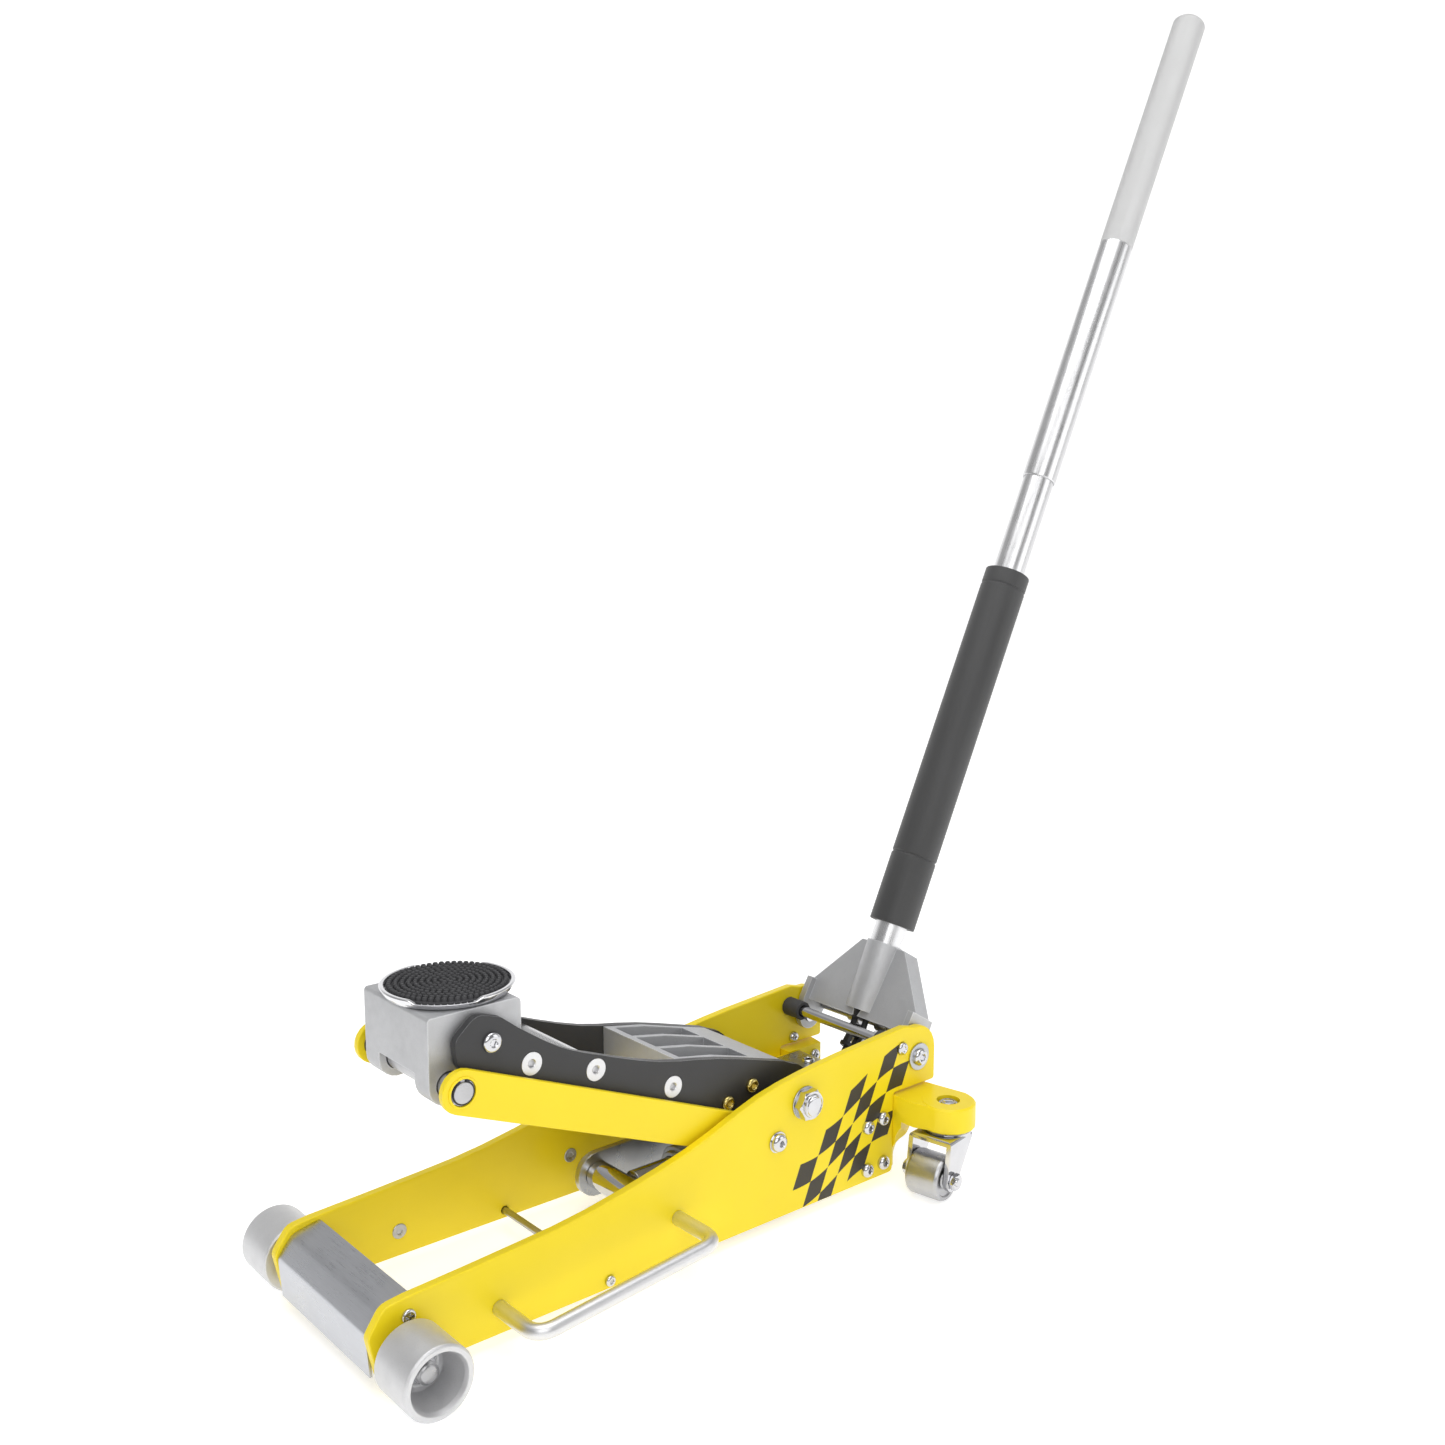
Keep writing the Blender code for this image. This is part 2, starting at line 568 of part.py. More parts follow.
def add_wheels():
    for name, side in SIDES.items():
        frame("front_wheel_axis_" + name, (FRONT_AXLE[0], side * WHEEL_IN, FRONT_AXLE[1]), "jack")
        add("front_wheel_" + name, front_wheel(side), "cast_aluminium", "front_wheel_axis_" + name)
        swivel, roll = "caster_swivel_axis_" + name, "caster_wheel_axis_" + name
        turn = Matrix.Rotation(-side * CASTER_TOE, 4, "Z")
        frame(swivel, (CASTER_X, side * CASTER_Y, FORK_TOP), "jack", turn)
        frame(roll, (*caster_centre(side), CASTER_R), swivel, turn)
        down = Matrix.Translation((0, 0, -FORK_TOP))
        add("caster_fork_" + name, moved(caster_fork(), down), "chrome", swivel, local=True)
        half, edge, hole = CASTER_WIDTH / 2, 0.002, bore(CASTER_AXLE_R)
        tread = CASTER_R / math.cos(math.pi / ROUND)
        profile = [(hole, -half), (tread - edge, -half), (tread, edge - half)]
        profile += [(radius, -y) for radius, y in reversed(profile)]
        add("caster_wheel_" + name, turned(profile, "Y"), "steel", roll, local=True)
        head = LEG_OUT + GAP
        axle = joined(
            rod(CASTER_AXLE_R, -head - 0.002, head + 0.0075, sides=SMALL),
            slab(hexagon((0, 0), 0.013), -head - 0.0055, -head),
        )
        axle = joined(axle, slab(hexagon((0, 0), 0.013), head, head + 0.0055))
        add("caster_axle_" + name, moved(axle, Matrix.Rotation(math.pi, 4, "Z")) if side > 0 else axle,
            "chrome", swivel_axle_frame(name, side, swivel, turn), local=True)
        centre = (CASTER_X, side * CASTER_Y)
        low = FORK_TOP - 0.0045 - GAP
        bolt = joined(
            rod(SWIVEL_R, low - 0.002, 0.0800, "Z", centre, SMALL),
            slab(hexagon(centre, 0.016), 0.0728, 0.0785, axis="Z"),
        )
        add("caster_swivel_bolt_" + name, bolt, "chrome")


def swivel_axle_frame(name, side, swivel, turn):
    """The axle bolt is held by the fork, so it hangs from the swivel's empty."""
    made = "caster_axle_axis_" + name
    frame(made, (*caster_centre(side), CASTER_R), swivel, turn)
    return made


# ---------------------------------------------------------------- lift arm
def arm_plate(side):
    top = smooth([
        (0.1140, 0.2270), (0.1490, 0.2040), (0.1850, 0.1885), (0.2440, 0.1680), (0.3060, 0.1550),
        (0.3780, 0.1348),
    ])
    rear = arc(LIFT_PIVOT, 0.027, 78, -112)
    corner = arm_point(ARM_LENGTH + 0.0205, -ARM_BELOW)
    front = rounded([
        (*corner, 0.010), (0.0605, 0.2290, 0.010), (0.0790, 0.2450, 0.012), (0.0990, 0.2385, 0.012),
        arm_point(0.03, -ARM_BELOW),
    ])
    holes = [circle(LIFT_PIVOT, bore(LIFT_R)), circle(SADDLE_PIVOT, bore(SADDLE_BOLT_R, SMALL), SMALL)]
    return slab(top + rear + front[-1:] + front[:-1], *between(side, ARM_IN, ARM_OUT), holes)


def arm_casting():
    """Ribbed block between the rear ends of the arm plates, open around the lever's hub."""
    half = ARM_IN - GAP
    outline = [(0.2660, 0.1320), (0.2660, 0.1625), (0.3060, 0.1550), (0.3780, 0.1348)]
    outline += arc(LIFT_PIVOT, 0.0250, 60, -115) + [arm_point(0.055, -0.022)]
    body = slab(outline, -half, half, [circle(LIFT_PIVOT, bore(LIFT_R))])
    rib, wall = 0.0025, 0.005
    pocket_floor = [(0.2735, 0.1740), (0.2735, 0.1400), (0.3400, 0.1180), (0.3480, 0.1300), (0.3480, 0.1740)]
    third = half / 3
    edges = [(wall - half, -third - rib), (rib - third, third - rib), (third + rib, half - wall)]
    pockets = [slab(pocket_floor, low, high) for low, high in edges]
    hub_room = slab(
        [(0.3500, 0.0700), (0.3500, 0.1210), (0.3600, 0.1290), (0.4200, 0.1290), (0.4200, 0.0700)],
        -0.0325, 0.0325,
    )
    return cut(body, hub_room, *pockets)


def arm_lever():
    """Two levers on one hub, with a stub pin on the outside of each for the pull links."""
    hub = turned([(0, -0.0318), (0.0165, -0.0318), (0.0165, 0.0318), (0, 0.0318)], "Y", LIFT_PIVOT)
    pieces = []
    for side in SIDES.values():
        bar = capsule(LIFT_PIVOT, LEVER_END, 0.0175, 0.0125)
        pieces.append(slab(bar, *between(side, 0.0225, 0.0315)))
        pieces.append(slab(circle(LEVER_END, LEVER_PIN_R, SMALL), *between(side, 0.0300, 0.0420)))
        pieces.append(slab(circle(LEVER_END, 0.0105, SMALL), *between(side, 0.0408, 0.0430)))
    return cut(joined(hub, *pieces), slab(circle(LIFT_PIVOT, bore(LIFT_R)), -0.05, 0.05))


def saddle_bracket():
    front = LOWER_PIN[0] - 0.0160
    block = rounded([
        (front, 0.2010), (front, BRACKET_TOP, 0.003), (0.1220, BRACKET_TOP, 0.004), (0.1220, 0.2080, 0.007),
        (0.1100, 0.2010, 0.005),
    ])
    body = slab(block, -0.048, 0.048)
    lug = [(front, 0.2060), (front, LOWER_PIN[1])] + arc(LOWER_PIN, 0.0160, 180, 350)[1:]
    lug += [(LOWER_PIN[0] + 0.0200, 0.2060)]
    lugs = [slab(lug, *between(side, 0.027, 0.048)) for side in SIDES.values()]
    stem = slab(circle((SADDLE_X, 0), bore(SADDLE_STEM_R)), 0.2300, 0.26, axis="Z")
    bolt = slab(circle(SADDLE_PIVOT, bore(SADDLE_BOLT_R, SMALL), SMALL), -0.06, 0.06)
    pin = slab(circle(LOWER_PIN, bore(SADDLE_PIN_R)), -0.06, 0.06)
    return cut(joined(body, *lugs), stem, bolt, pin)


def saddle():
    """A dished steel cup on a stem. Its rim stands up in four lips with notches between."""
    base, notch, lip = BRACKET_TOP + 0.0004, 0.2525, 0.2545
    profile = [
        (0, 0.2315), (SADDLE_STEM_R, 0.2315), (SADDLE_STEM_R, base), (0.0455, base),
        (SADDLE_R, notch), (SADDLE_R - 0.0006, lip), (SADDLE_R - 0.0028, lip),
        (PAD_R + 0.0006, notch - 0.0005), (PAD_R + 0.0006, 0.2505), (0, 0.2505),
    ]
    mesh = turned(profile, centre=(SADDLE_X, 0), sides=SADDLE_SIDES)
    for v in mesh.vertices:
        if v.co.z < lip - 0.0002:
            continue
        turn = math.degrees(math.atan2(v.co.y, v.co.x - SADDLE_X)) % 90
        if 32 < turn < 58:
            v.co.z = notch + 0.0003
    return mesh


def stabiliser_link(side):
    holes = [circle(LOWER_PIN, bore(SADDLE_PIN_R)), circle(LINK_PIVOT, bore(LINK_R, SMALL), SMALL)]
    outline = capsule(LOWER_PIN, LINK_PIVOT, LINK_END_R, LINK_END_R)
    return slab(outline, *between(side, LINK_IN, LINK_OUT), holes)


def add_lift_arm():
    frame("lift_axis", (LIFT_PIVOT[0], 0, LIFT_PIVOT[1]), "jack")
    frame("saddle_level_axis", (SADDLE_PIVOT[0], 0, SADDLE_PIVOT[1]), "lift_axis")
    frame("saddle_spin_axis", (SADDLE_X, 0, BRACKET_TOP), "saddle_level_axis")
    frame("link_axis", (LINK_PIVOT[0], 0, LINK_PIVOT[1]), "jack")
    for name, side in SIDES.items():
        add("arm_plate_" + name, arm_plate(side), "black_coat", "lift_axis")
        add("stabiliser_link_" + name, stabiliser_link(side), "yellow_coat", "link_axis")
    add("arm_casting", arm_casting(), "cast_aluminium", "lift_axis")
    add("arm_lever", arm_lever(), "steel", "lift_axis")
    for name, at in {"front": (0.1248, 0.1967), "middle": (0.1826, 0.1772)}.items():
        half = ARM_IN - GAP
        spacer = rod(0.0075, -half, half, centre=at, sides=SMALL)
        add("arm_spacer_" + name, spacer, "bare_aluminium", "lift_axis")
    head_in, head_out = ARM_OUT + GAP, ARM_OUT + 0.0037
    shank = head_in + 0.001
    bolt = rod(SADDLE_BOLT_R, -shank, shank, centre=SADDLE_PIVOT, sides=SMALL, bevel=0.0002)
    for side in SIDES.values():
        head = rod(0.0085, *between(side, head_in, head_out), centre=SADDLE_PIVOT, sides=SMALL, bevel=0.0012)
        bolt = joined(bolt, head)
    add("saddle_cross_bolt", bolt, "chrome", "lift_axis")
    add("saddle_bracket", saddle_bracket(), "cast_aluminium", "saddle_level_axis")
    pin = rod(SADDLE_PIN_R, -0.0690, 0.0690, centre=LOWER_PIN, bevel=0.001)
    add("saddle_lower_pin", pin, "steel", "saddle_level_axis")
    add("saddle", saddle(), "chrome", "saddle_spin_axis")
    pad = [(0, 0.2508), (PAD_R, 0.2508), (PAD_R, 0.2545), (PAD_R - 0.001, 0.2555), (0, 0.2555)]
    pad = turned(pad, centre=(SADDLE_X, 0), sides=SADDLE_SIDES)
    add("saddle_pad", pad, "rubber", "saddle_spin_axis")


# ---------------------------------------------------------------- hydraulics
def power_unit():
    """Main block between the bracket flanges, with a narrower pump housing behind it."""
    half, low, high = 0.0570, 0.012, 0.080
    block = rounded([
        (BLOCK_FRONT, low, 0.004), (BLOCK_REAR, low, 0.004), (BLOCK_REAR, high, 0.003),
        (BLOCK_FRONT, high, 0.010),
    ])
    overlap, pump_end, pump_low, pump_high = BLOCK_REAR - 0.004, 0.5520, 0.034, 0.078
    housing = rounded([
        (overlap, pump_low), (pump_end, pump_low, 0.008), (pump_end, pump_high, 0.002), (overlap, pump_high)
    ])
    body = slab(block, -half, half)
    pump = slab(housing, -0.027, 0.027)
    bores = []
    for side in SIDES.values():
        hole = circle((PUMP_X, side * PUMP_Y), bore(PUMP_R, SMALL), SMALL)
        bores.append(slab(hole, 0.0400, 0.09, axis="Z"))
    stem = moved(slab(circle((0, 0), bore(VALVE_R, SMALL), SMALL), -0.064, 0.0, axis="Z"), valve_matrix())
    return cut(joined(body, pump), stem, *bores)


def valve_matrix():
    """Stands +Z on the release valve's axis, with the socket pivot at the origin."""
    at = Matrix.Translation((SOCKET_PIVOT[0], 0, SOCKET_PIVOT[1]))
    return at @ Matrix.Rotation(math.pi / 2 - VALVE_ANGLE, 4, "Y")


def reservoir_tube():
    front, rear = TUBE_FRONT, BLOCK_FRONT - GAP
    gland, wall = bore(RAM_R), 0.0150
    profile = [
        (gland, front), (TUBE_R - 0.004, front), (TUBE_R - 0.003, front + 0.004), (TUBE_R, front + 0.004),
        (TUBE_R, rear), (wall, rear), (wall, front + 0.014), (gland, front + 0.014),
    ]
    return turned(profile, "X", (0, RAM_HEIGHT))


def crosshead():
    """Cross bar that the ram pushes; its ends carry the pull links and the springs' hooks."""
    at = (CROSSHEAD_X, RAM_HEIGHT)
    half = [
        (0.012, 0), (0.012, 0.0335), (CROSSHEAD_PIN_R, 0.0335), (CROSSHEAD_PIN_R, 0.0412), (0.0115, 0.0412),
        (0.0115, 0.0440),
    ]
    profile = [(0, -0.0440)] + [(radius, -y) for radius, y in reversed(half[1:])] + half[1:] + [(0, 0.0440)]
    bar = turned(profile, "Y", at)
    hooks = []
    for side in SIDES.values():
        ends, low, high, corner = (at[0] - 0.004, at[0] + 0.004), 0.0185, 0.0480, 0.003
        outline = rounded([
            (ends[0], low, corner), (ends[1], low, corner), (ends[1], high, corner), (ends[0], high, corner)
        ])
        hooks.append(slab(outline, *between(side, 0.0430, 0.0545)))
    return joined(bar, *hooks)


def pull_link(side):
    """Its rear eye is a slot, which lets the lever's pin rise and fall a little."""
    front = (CROSSHEAD_X, RAM_HEIGHT)
    low, high = (LEVER_END[0], 0.0419), (LEVER_END[0], 0.0489)
    eye_r = 0.0069
    eye = arc(low, eye_r, 180, 360) + arc(high, eye_r, 0, 180)
    middle = (LEVER_END[0], (low[1] + high[1]) / 2)
    outline = capsule(front, middle, 0.0195, 0.0150)
    return slab(outline, *between(side, 0.0340, 0.0405), [circle(front, bore(CROSSHEAD_PIN_R)), eye])


def return_spring(side):
    """Drawn between the crosshead's hook and the block, beside the pull link."""
    radius, wire, turns, steps = 0.0036, 0.0008, 14, 8
    start, end = CROSSHEAD_X + 0.0052, BLOCK_FRONT - 0.0013
    path = []
    for i in range(turns * steps + 1):
        angle = 2 * math.pi * i / steps
        x = start + (end - start) * i / (turns * steps)
        path.append((x, side * 0.0495 + radius * math.cos(angle), 0.0240 + radius * math.sin(angle)))
    return swept(path, wire, 3)


TINE = [(-0.0027, -0.0040), (0.0027, -0.0040), (0.0027, 0.0150), (-0.0027, 0.0150)]  # of a joint yoke


def release_valve():
    """Valve stem with the lower half of the universal joint and its cross."""
    yoke = []
    for side in SIDES.values():
        tine = slab(TINE, *between(side, 0.0040, 0.0090), axis="X")
        yoke.append(moved(tine, Matrix.Rotation(math.pi, 4, "Y")))
    crown = [(0, -0.0165), (0.0085, -0.0165), (0.0095, -0.0155), (0.0095, -0.0125), (0, -0.0125)]
    crown = turned(crown, sides=SMALL)
    stem = turned([(0, -0.0600), (VALVE_R, -0.0600), (VALVE_R, -0.0160), (0, -0.0160)], sides=SMALL)
    radius = 0.005
    ball = [(radius * math.cos(a), radius * math.sin(a)) for a in (-1.0, -0.5, 0, 0.5, 1.0)]
    ball = [(0, -radius)] + ball + [(0, radius)]
    return joined(stem, crown, *yoke, turned(ball, sides=SMALL))


def add_hydraulics():
    add("power_unit", power_unit(), "zinc_plate")
    add("reservoir_tube", reservoir_tube(), "zinc_plate")
    frame("ram_axis", (CROSSHEAD_X, 0, RAM_HEIGHT), "jack")
    ram = rod(RAM_R, CROSSHEAD_X + 0.0123, CROSSHEAD_X + 0.1373, "X", (0, RAM_HEIGHT))
    add("ram", ram, "chrome", "ram_axis")
    add("crosshead", crosshead(), "chrome", "ram_axis")
    for name, side in SIDES.items():
        add("pull_link_" + name, pull_link(side), "zinc_plate", "ram_axis")
        add("return_spring_" + name, return_spring(side), "steel")
        frame("pump_axis_" + name, (PUMP_X, side * PUMP_Y, PUMP_TOP), "jack")
        cap = [
            (0, -0.0496), (PUMP_R, -0.0496), (PUMP_R, -0.0040), (0.0090, -0.0040), (0.0090, -0.001),
            (0.0080, 0), (0, 0),
        ]
        add("pump_plunger_" + name, turned(cap, sides=SMALL), "chrome", "pump_axis_" + name, local=True)
    frame("release_axis", valve_matrix().translation, "jack", valve_matrix().to_3x3().to_4x4())
    add("release_valve", release_valve(), "black_steel", "release_axis", local=True)


# ---------------------------------------------------------------- handle
def handle_socket():
    """Sloping web with a flange down each side, a sleeve for the handle and two pivot ears.
    Built about the socket pivot with the handle along +Z."""
    foot, shoulder, top = 0.0140, 0.0320, 0.0860
    wide, narrow, wall, thick = 0.0695, 0.0275, 0.0055, 0.0070
    front, rear = -0.0105, 0.0100
    outline = [(wide, foot), (wide, shoulder), (narrow, top)]
    outline += [(-y, z) for y, z in reversed(outline)]
    room = [(wide - wall, 0), (wide - wall, shoulder - 0.003), (narrow - wall, top + 0.002)]
    room += [(-y, z) for y, z in reversed(room)]
    channel = cut(slab(outline, front, rear, axis="X"), slab(room, front + thick, rear + 0.01, axis="X"))
    channel = moved(channel, Matrix.Rotation(WEB_LEAN, 4, "Y"))
    ear = rounded([(-0.0160, 0.0140), (-0.0140, 0.0360), (0.0165, 0.0330), (0.0165, 0.0120)])
    ear += arc((0, 0), 0.0130, 0, -140)
    ears = [slab(ear, *between(side, 0.0630, wide)) for side in SIDES.values()]
    sleeve = turned([(0, 0.0215), (SLEEVE_R, 0.0215), (SLEEVE_R, 0.0880), (0, 0.0880)])
    body = joined(channel, sleeve, *ears)
    hole = slab(circle((0, 0), bore(TUBE_LOWER_R)), 0.0300, 0.12, axis="Z")
    neck = slab(circle((0, 0), 0.0095), 0.0, 0.05, axis="Z")
    pivot = slab(circle((0, 0), bore(SOCKET_BOLT_R, SMALL), SMALL), -0.08, 0.08)
    roller = slab(circle(ROLLER, bore(0.003, SMALL), SMALL), -0.08, 0.08)
    return cut(body, hole, neck, pivot, roller)


def universal_yoke():
    """Upper half of the universal joint, plugged into the lower end of the handle."""
    tines = [slab(TINE, *between(side, 0.0055, 0.0085)) for side in SIDES.values()]
    neck, plug = 0.0090, 0.0126
    profile = [(0, 0.0130), (neck, 0.0130), (neck, 0.0310), (plug, 0.0310), (plug, 0.0480), (0, 0.0480)]
    return joined(turned(profile), *tines)


def add_handle():
    lean = Matrix.Rotation(HANDLE_LEAN, 4, "Y")
    at = (SOCKET_PIVOT[0], 0, SOCKET_PIVOT[1])
    frame("pump_stroke_axis", at, "jack", lean)
    frame("twist_axis", at, "pump_stroke_axis", lean)
    add("handle_socket", handle_socket(), "cast_aluminium", "pump_stroke_axis", local=True)
    pin, spool, roll = 0.003, 0.004, 0.006
    end = [(0, -0.0690), (pin, -0.0690), (pin, -0.0622), (spool, -0.0622), (spool, -0.0250)]
    end += [(roll, -0.0250), (roll, -0.0105), (pin, -0.0105)]
    roller = turned(end + [(radius, -y) for radius, y in reversed(end)], "Y", ROLLER, SMALL)
    add("pump_roller", roller, "steel", "pump_stroke_axis", local=True)
    add("universal_yoke", universal_yoke(), "black_steel", "twist_axis", local=True)
    lower_bore, lower_top = 0.0130, 0.6360
    lower = [(lower_bore, 0.0313), (TUBE_LOWER_R, 0.0313), (TUBE_LOWER_R, lower_top), (lower_bore, lower_top)]
    add("handle_lower_tube", turned(lower), "bare_aluminium", "twist_axis", local=True)
    slip, inside, edge = bore(TUBE_LOWER_R), 0.0145, TUBE_EDGE
    upper = [
        (slip, UPPER_START), (TUBE_UPPER_R, UPPER_START), (TUBE_UPPER_R, HANDLE_TOP - edge),
        (TUBE_UPPER_R - edge, HANDLE_TOP), (0.006, HANDLE_TOP), (0.006, HANDLE_TOP - 0.003),
        (inside, HANDLE_TOP - 0.003), (inside, lower_top + GAP), (slip, lower_top + GAP),
    ]
    add("handle_upper_tube", turned(upper), "bare_aluminium", "twist_axis", local=True)
    foam = [
        (slip, FOAM_START), (FOAM_R - edge, FOAM_START), (FOAM_R, FOAM_START + edge),
        (FOAM_R, FOAM_END - edge), (FOAM_R - edge, FOAM_END), (slip, FOAM_END),
    ]
    add("foam_sleeve", turned(foam), "foam", "twist_axis", local=True)


def main():
    for item in list(bpy.data.objects):
        bpy.data.objects.remove(item, do_unlink=True)
    make_materials()
    frame("jack")
    add_frame()
    add_wheels()
    add_lift_arm()
    add_hydraulics()
    add_handle()
    FRAMES["jack"][0].location.x = -CENTRE_X


main()
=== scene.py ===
"""The looks of a hydraulic floor jack: finishes, finely modelled pieces, fasteners, floor and light.

Metres, +Z up. The saddle is towards -X, the handle towards +X, and the left side is -Y. Places come
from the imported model. Lengths along X are given from the front axle and heights from the floor.
"""

import json
import math

import bmesh
import bpy
from mathutils import Matrix, Vector
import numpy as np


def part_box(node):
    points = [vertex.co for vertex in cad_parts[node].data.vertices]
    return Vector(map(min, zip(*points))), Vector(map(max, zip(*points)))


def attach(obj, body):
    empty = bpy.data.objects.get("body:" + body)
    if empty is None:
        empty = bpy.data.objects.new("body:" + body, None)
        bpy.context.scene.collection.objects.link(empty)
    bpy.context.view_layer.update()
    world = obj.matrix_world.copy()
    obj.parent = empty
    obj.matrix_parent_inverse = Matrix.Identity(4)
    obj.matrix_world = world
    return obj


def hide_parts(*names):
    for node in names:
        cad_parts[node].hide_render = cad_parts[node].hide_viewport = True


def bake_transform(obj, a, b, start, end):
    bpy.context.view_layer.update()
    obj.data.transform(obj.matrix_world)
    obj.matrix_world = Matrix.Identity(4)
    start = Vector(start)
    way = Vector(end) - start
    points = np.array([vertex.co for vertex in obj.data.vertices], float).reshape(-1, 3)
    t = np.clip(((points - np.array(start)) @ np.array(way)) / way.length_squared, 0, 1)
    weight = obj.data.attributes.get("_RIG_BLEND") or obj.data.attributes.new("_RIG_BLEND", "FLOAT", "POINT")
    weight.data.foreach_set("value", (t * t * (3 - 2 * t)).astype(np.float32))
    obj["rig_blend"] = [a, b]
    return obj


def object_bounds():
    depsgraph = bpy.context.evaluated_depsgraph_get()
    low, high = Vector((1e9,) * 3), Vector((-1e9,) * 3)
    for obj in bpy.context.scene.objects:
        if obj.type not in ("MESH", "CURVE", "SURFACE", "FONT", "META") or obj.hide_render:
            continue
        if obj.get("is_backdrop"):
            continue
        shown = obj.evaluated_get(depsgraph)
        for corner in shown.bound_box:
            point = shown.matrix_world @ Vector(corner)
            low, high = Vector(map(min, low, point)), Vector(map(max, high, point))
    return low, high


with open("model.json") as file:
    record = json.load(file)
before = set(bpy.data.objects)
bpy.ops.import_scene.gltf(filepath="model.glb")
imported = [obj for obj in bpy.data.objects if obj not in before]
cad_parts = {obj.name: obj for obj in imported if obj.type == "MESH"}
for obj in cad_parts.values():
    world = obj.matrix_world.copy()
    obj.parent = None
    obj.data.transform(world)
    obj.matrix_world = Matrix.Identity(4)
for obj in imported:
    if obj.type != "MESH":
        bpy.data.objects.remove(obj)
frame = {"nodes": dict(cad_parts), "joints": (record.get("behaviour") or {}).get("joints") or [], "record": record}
cad_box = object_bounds()

# ---- camera
CAMERA_AT = (-0.94683, -0.9562, 0.6129)
CAMERA_YAW, CAMERA_DOWN = math.radians(40.26), math.radians(8.63)
CAMERA_LENS, CAMERA_SENSOR = 37.35, 36.0  # mm


def add_camera():
    data = bpy.data.cameras.new("camera")
    data.lens, data.sensor_width = CAMERA_LENS, CAMERA_SENSOR
    camera = bpy.data.objects.new("camera", data)
    bpy.context.scene.collection.objects.link(camera)
    camera.location = CAMERA_AT
    camera.rotation_euler = (math.pi / 2 - CAMERA_DOWN, 0, -CAMERA_YAW)
    bpy.context.scene.camera = camera


# ---- places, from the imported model
SIDES = {"left": -1, "right": 1}


def centre(node):
    low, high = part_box(node)
    return (low + high) / 2


def joint_axis(name):
    return Vector(next(j for j in frame["joints"] if j["name"] == name)["axis"])


AXLE = centre("front_axle")
LIFT = centre("lift_pivot_nut")
LINK = centre("link_pivot_bolt_left")
LOWER_PIN = centre("saddle_lower_pin")
SADDLE_BOLT = centre("saddle_cross_bolt")
SOCKET = centre("socket_pivot_bolt_left")
STOP_ROD = centre("handle_stop_rod")
TIE_ROD = centre("front_tie_rod")
SADDLE = centre("saddle")
PLATE_IN, PLATE_OUT = (corner.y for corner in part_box("side_plate_right"))
ARM_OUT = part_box("arm_plate_right")[1].y
LINK_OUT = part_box("stabiliser_link_right")[1].y
FLANGE_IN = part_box("caster_bracket_right")[0].y
GAP = 0.0003  # room between neighbouring pieces
FACE = PLATE_OUT + GAP  # where fasteners stand on the side plates

LEAN = Matrix.Rotation(math.atan2(joint_axis("handle_twist").x, joint_axis("handle_twist").z), 4, "Y")
HANDLE = Matrix.Translation((SOCKET.x, 0, SOCKET.z)) @ LEAN  # +Z up the handle, from the socket's pivot


def outward(side, x, z, y):
    """Stands +Z outwards on a face across the jack, at a distance y from its middle plane."""
    return Matrix.Translation((x, side * y, z)) @ Matrix.Rotation(-side * math.pi / 2, 4, "X")


def jack(x, z):
    """World x and z of a point given from the front axle and the floor."""
    return AXLE.x + x, z


# ---- materials
FINISHES = {}  # finish: its material, and the record's slot that it belongs to
GRAIN = {  # fineness of each surface's texture, per metre
    "orange_peel": 700,
    "sand": 900,
    "brush": 1500,
    "hairlines": 900,
    "tool_marks": 1100,
    "rubber": 1500,
    "cells": 1300,
}
WORN_EDGE_HIGHLIGHT = (0.46, 0.46, 0.47, 1)  # metal that shows through worn paint on upward-facing edges, which also serves as a painted highlight along them
CHEQUER_DARK = (0.034, 0.028, 0.018, 1)


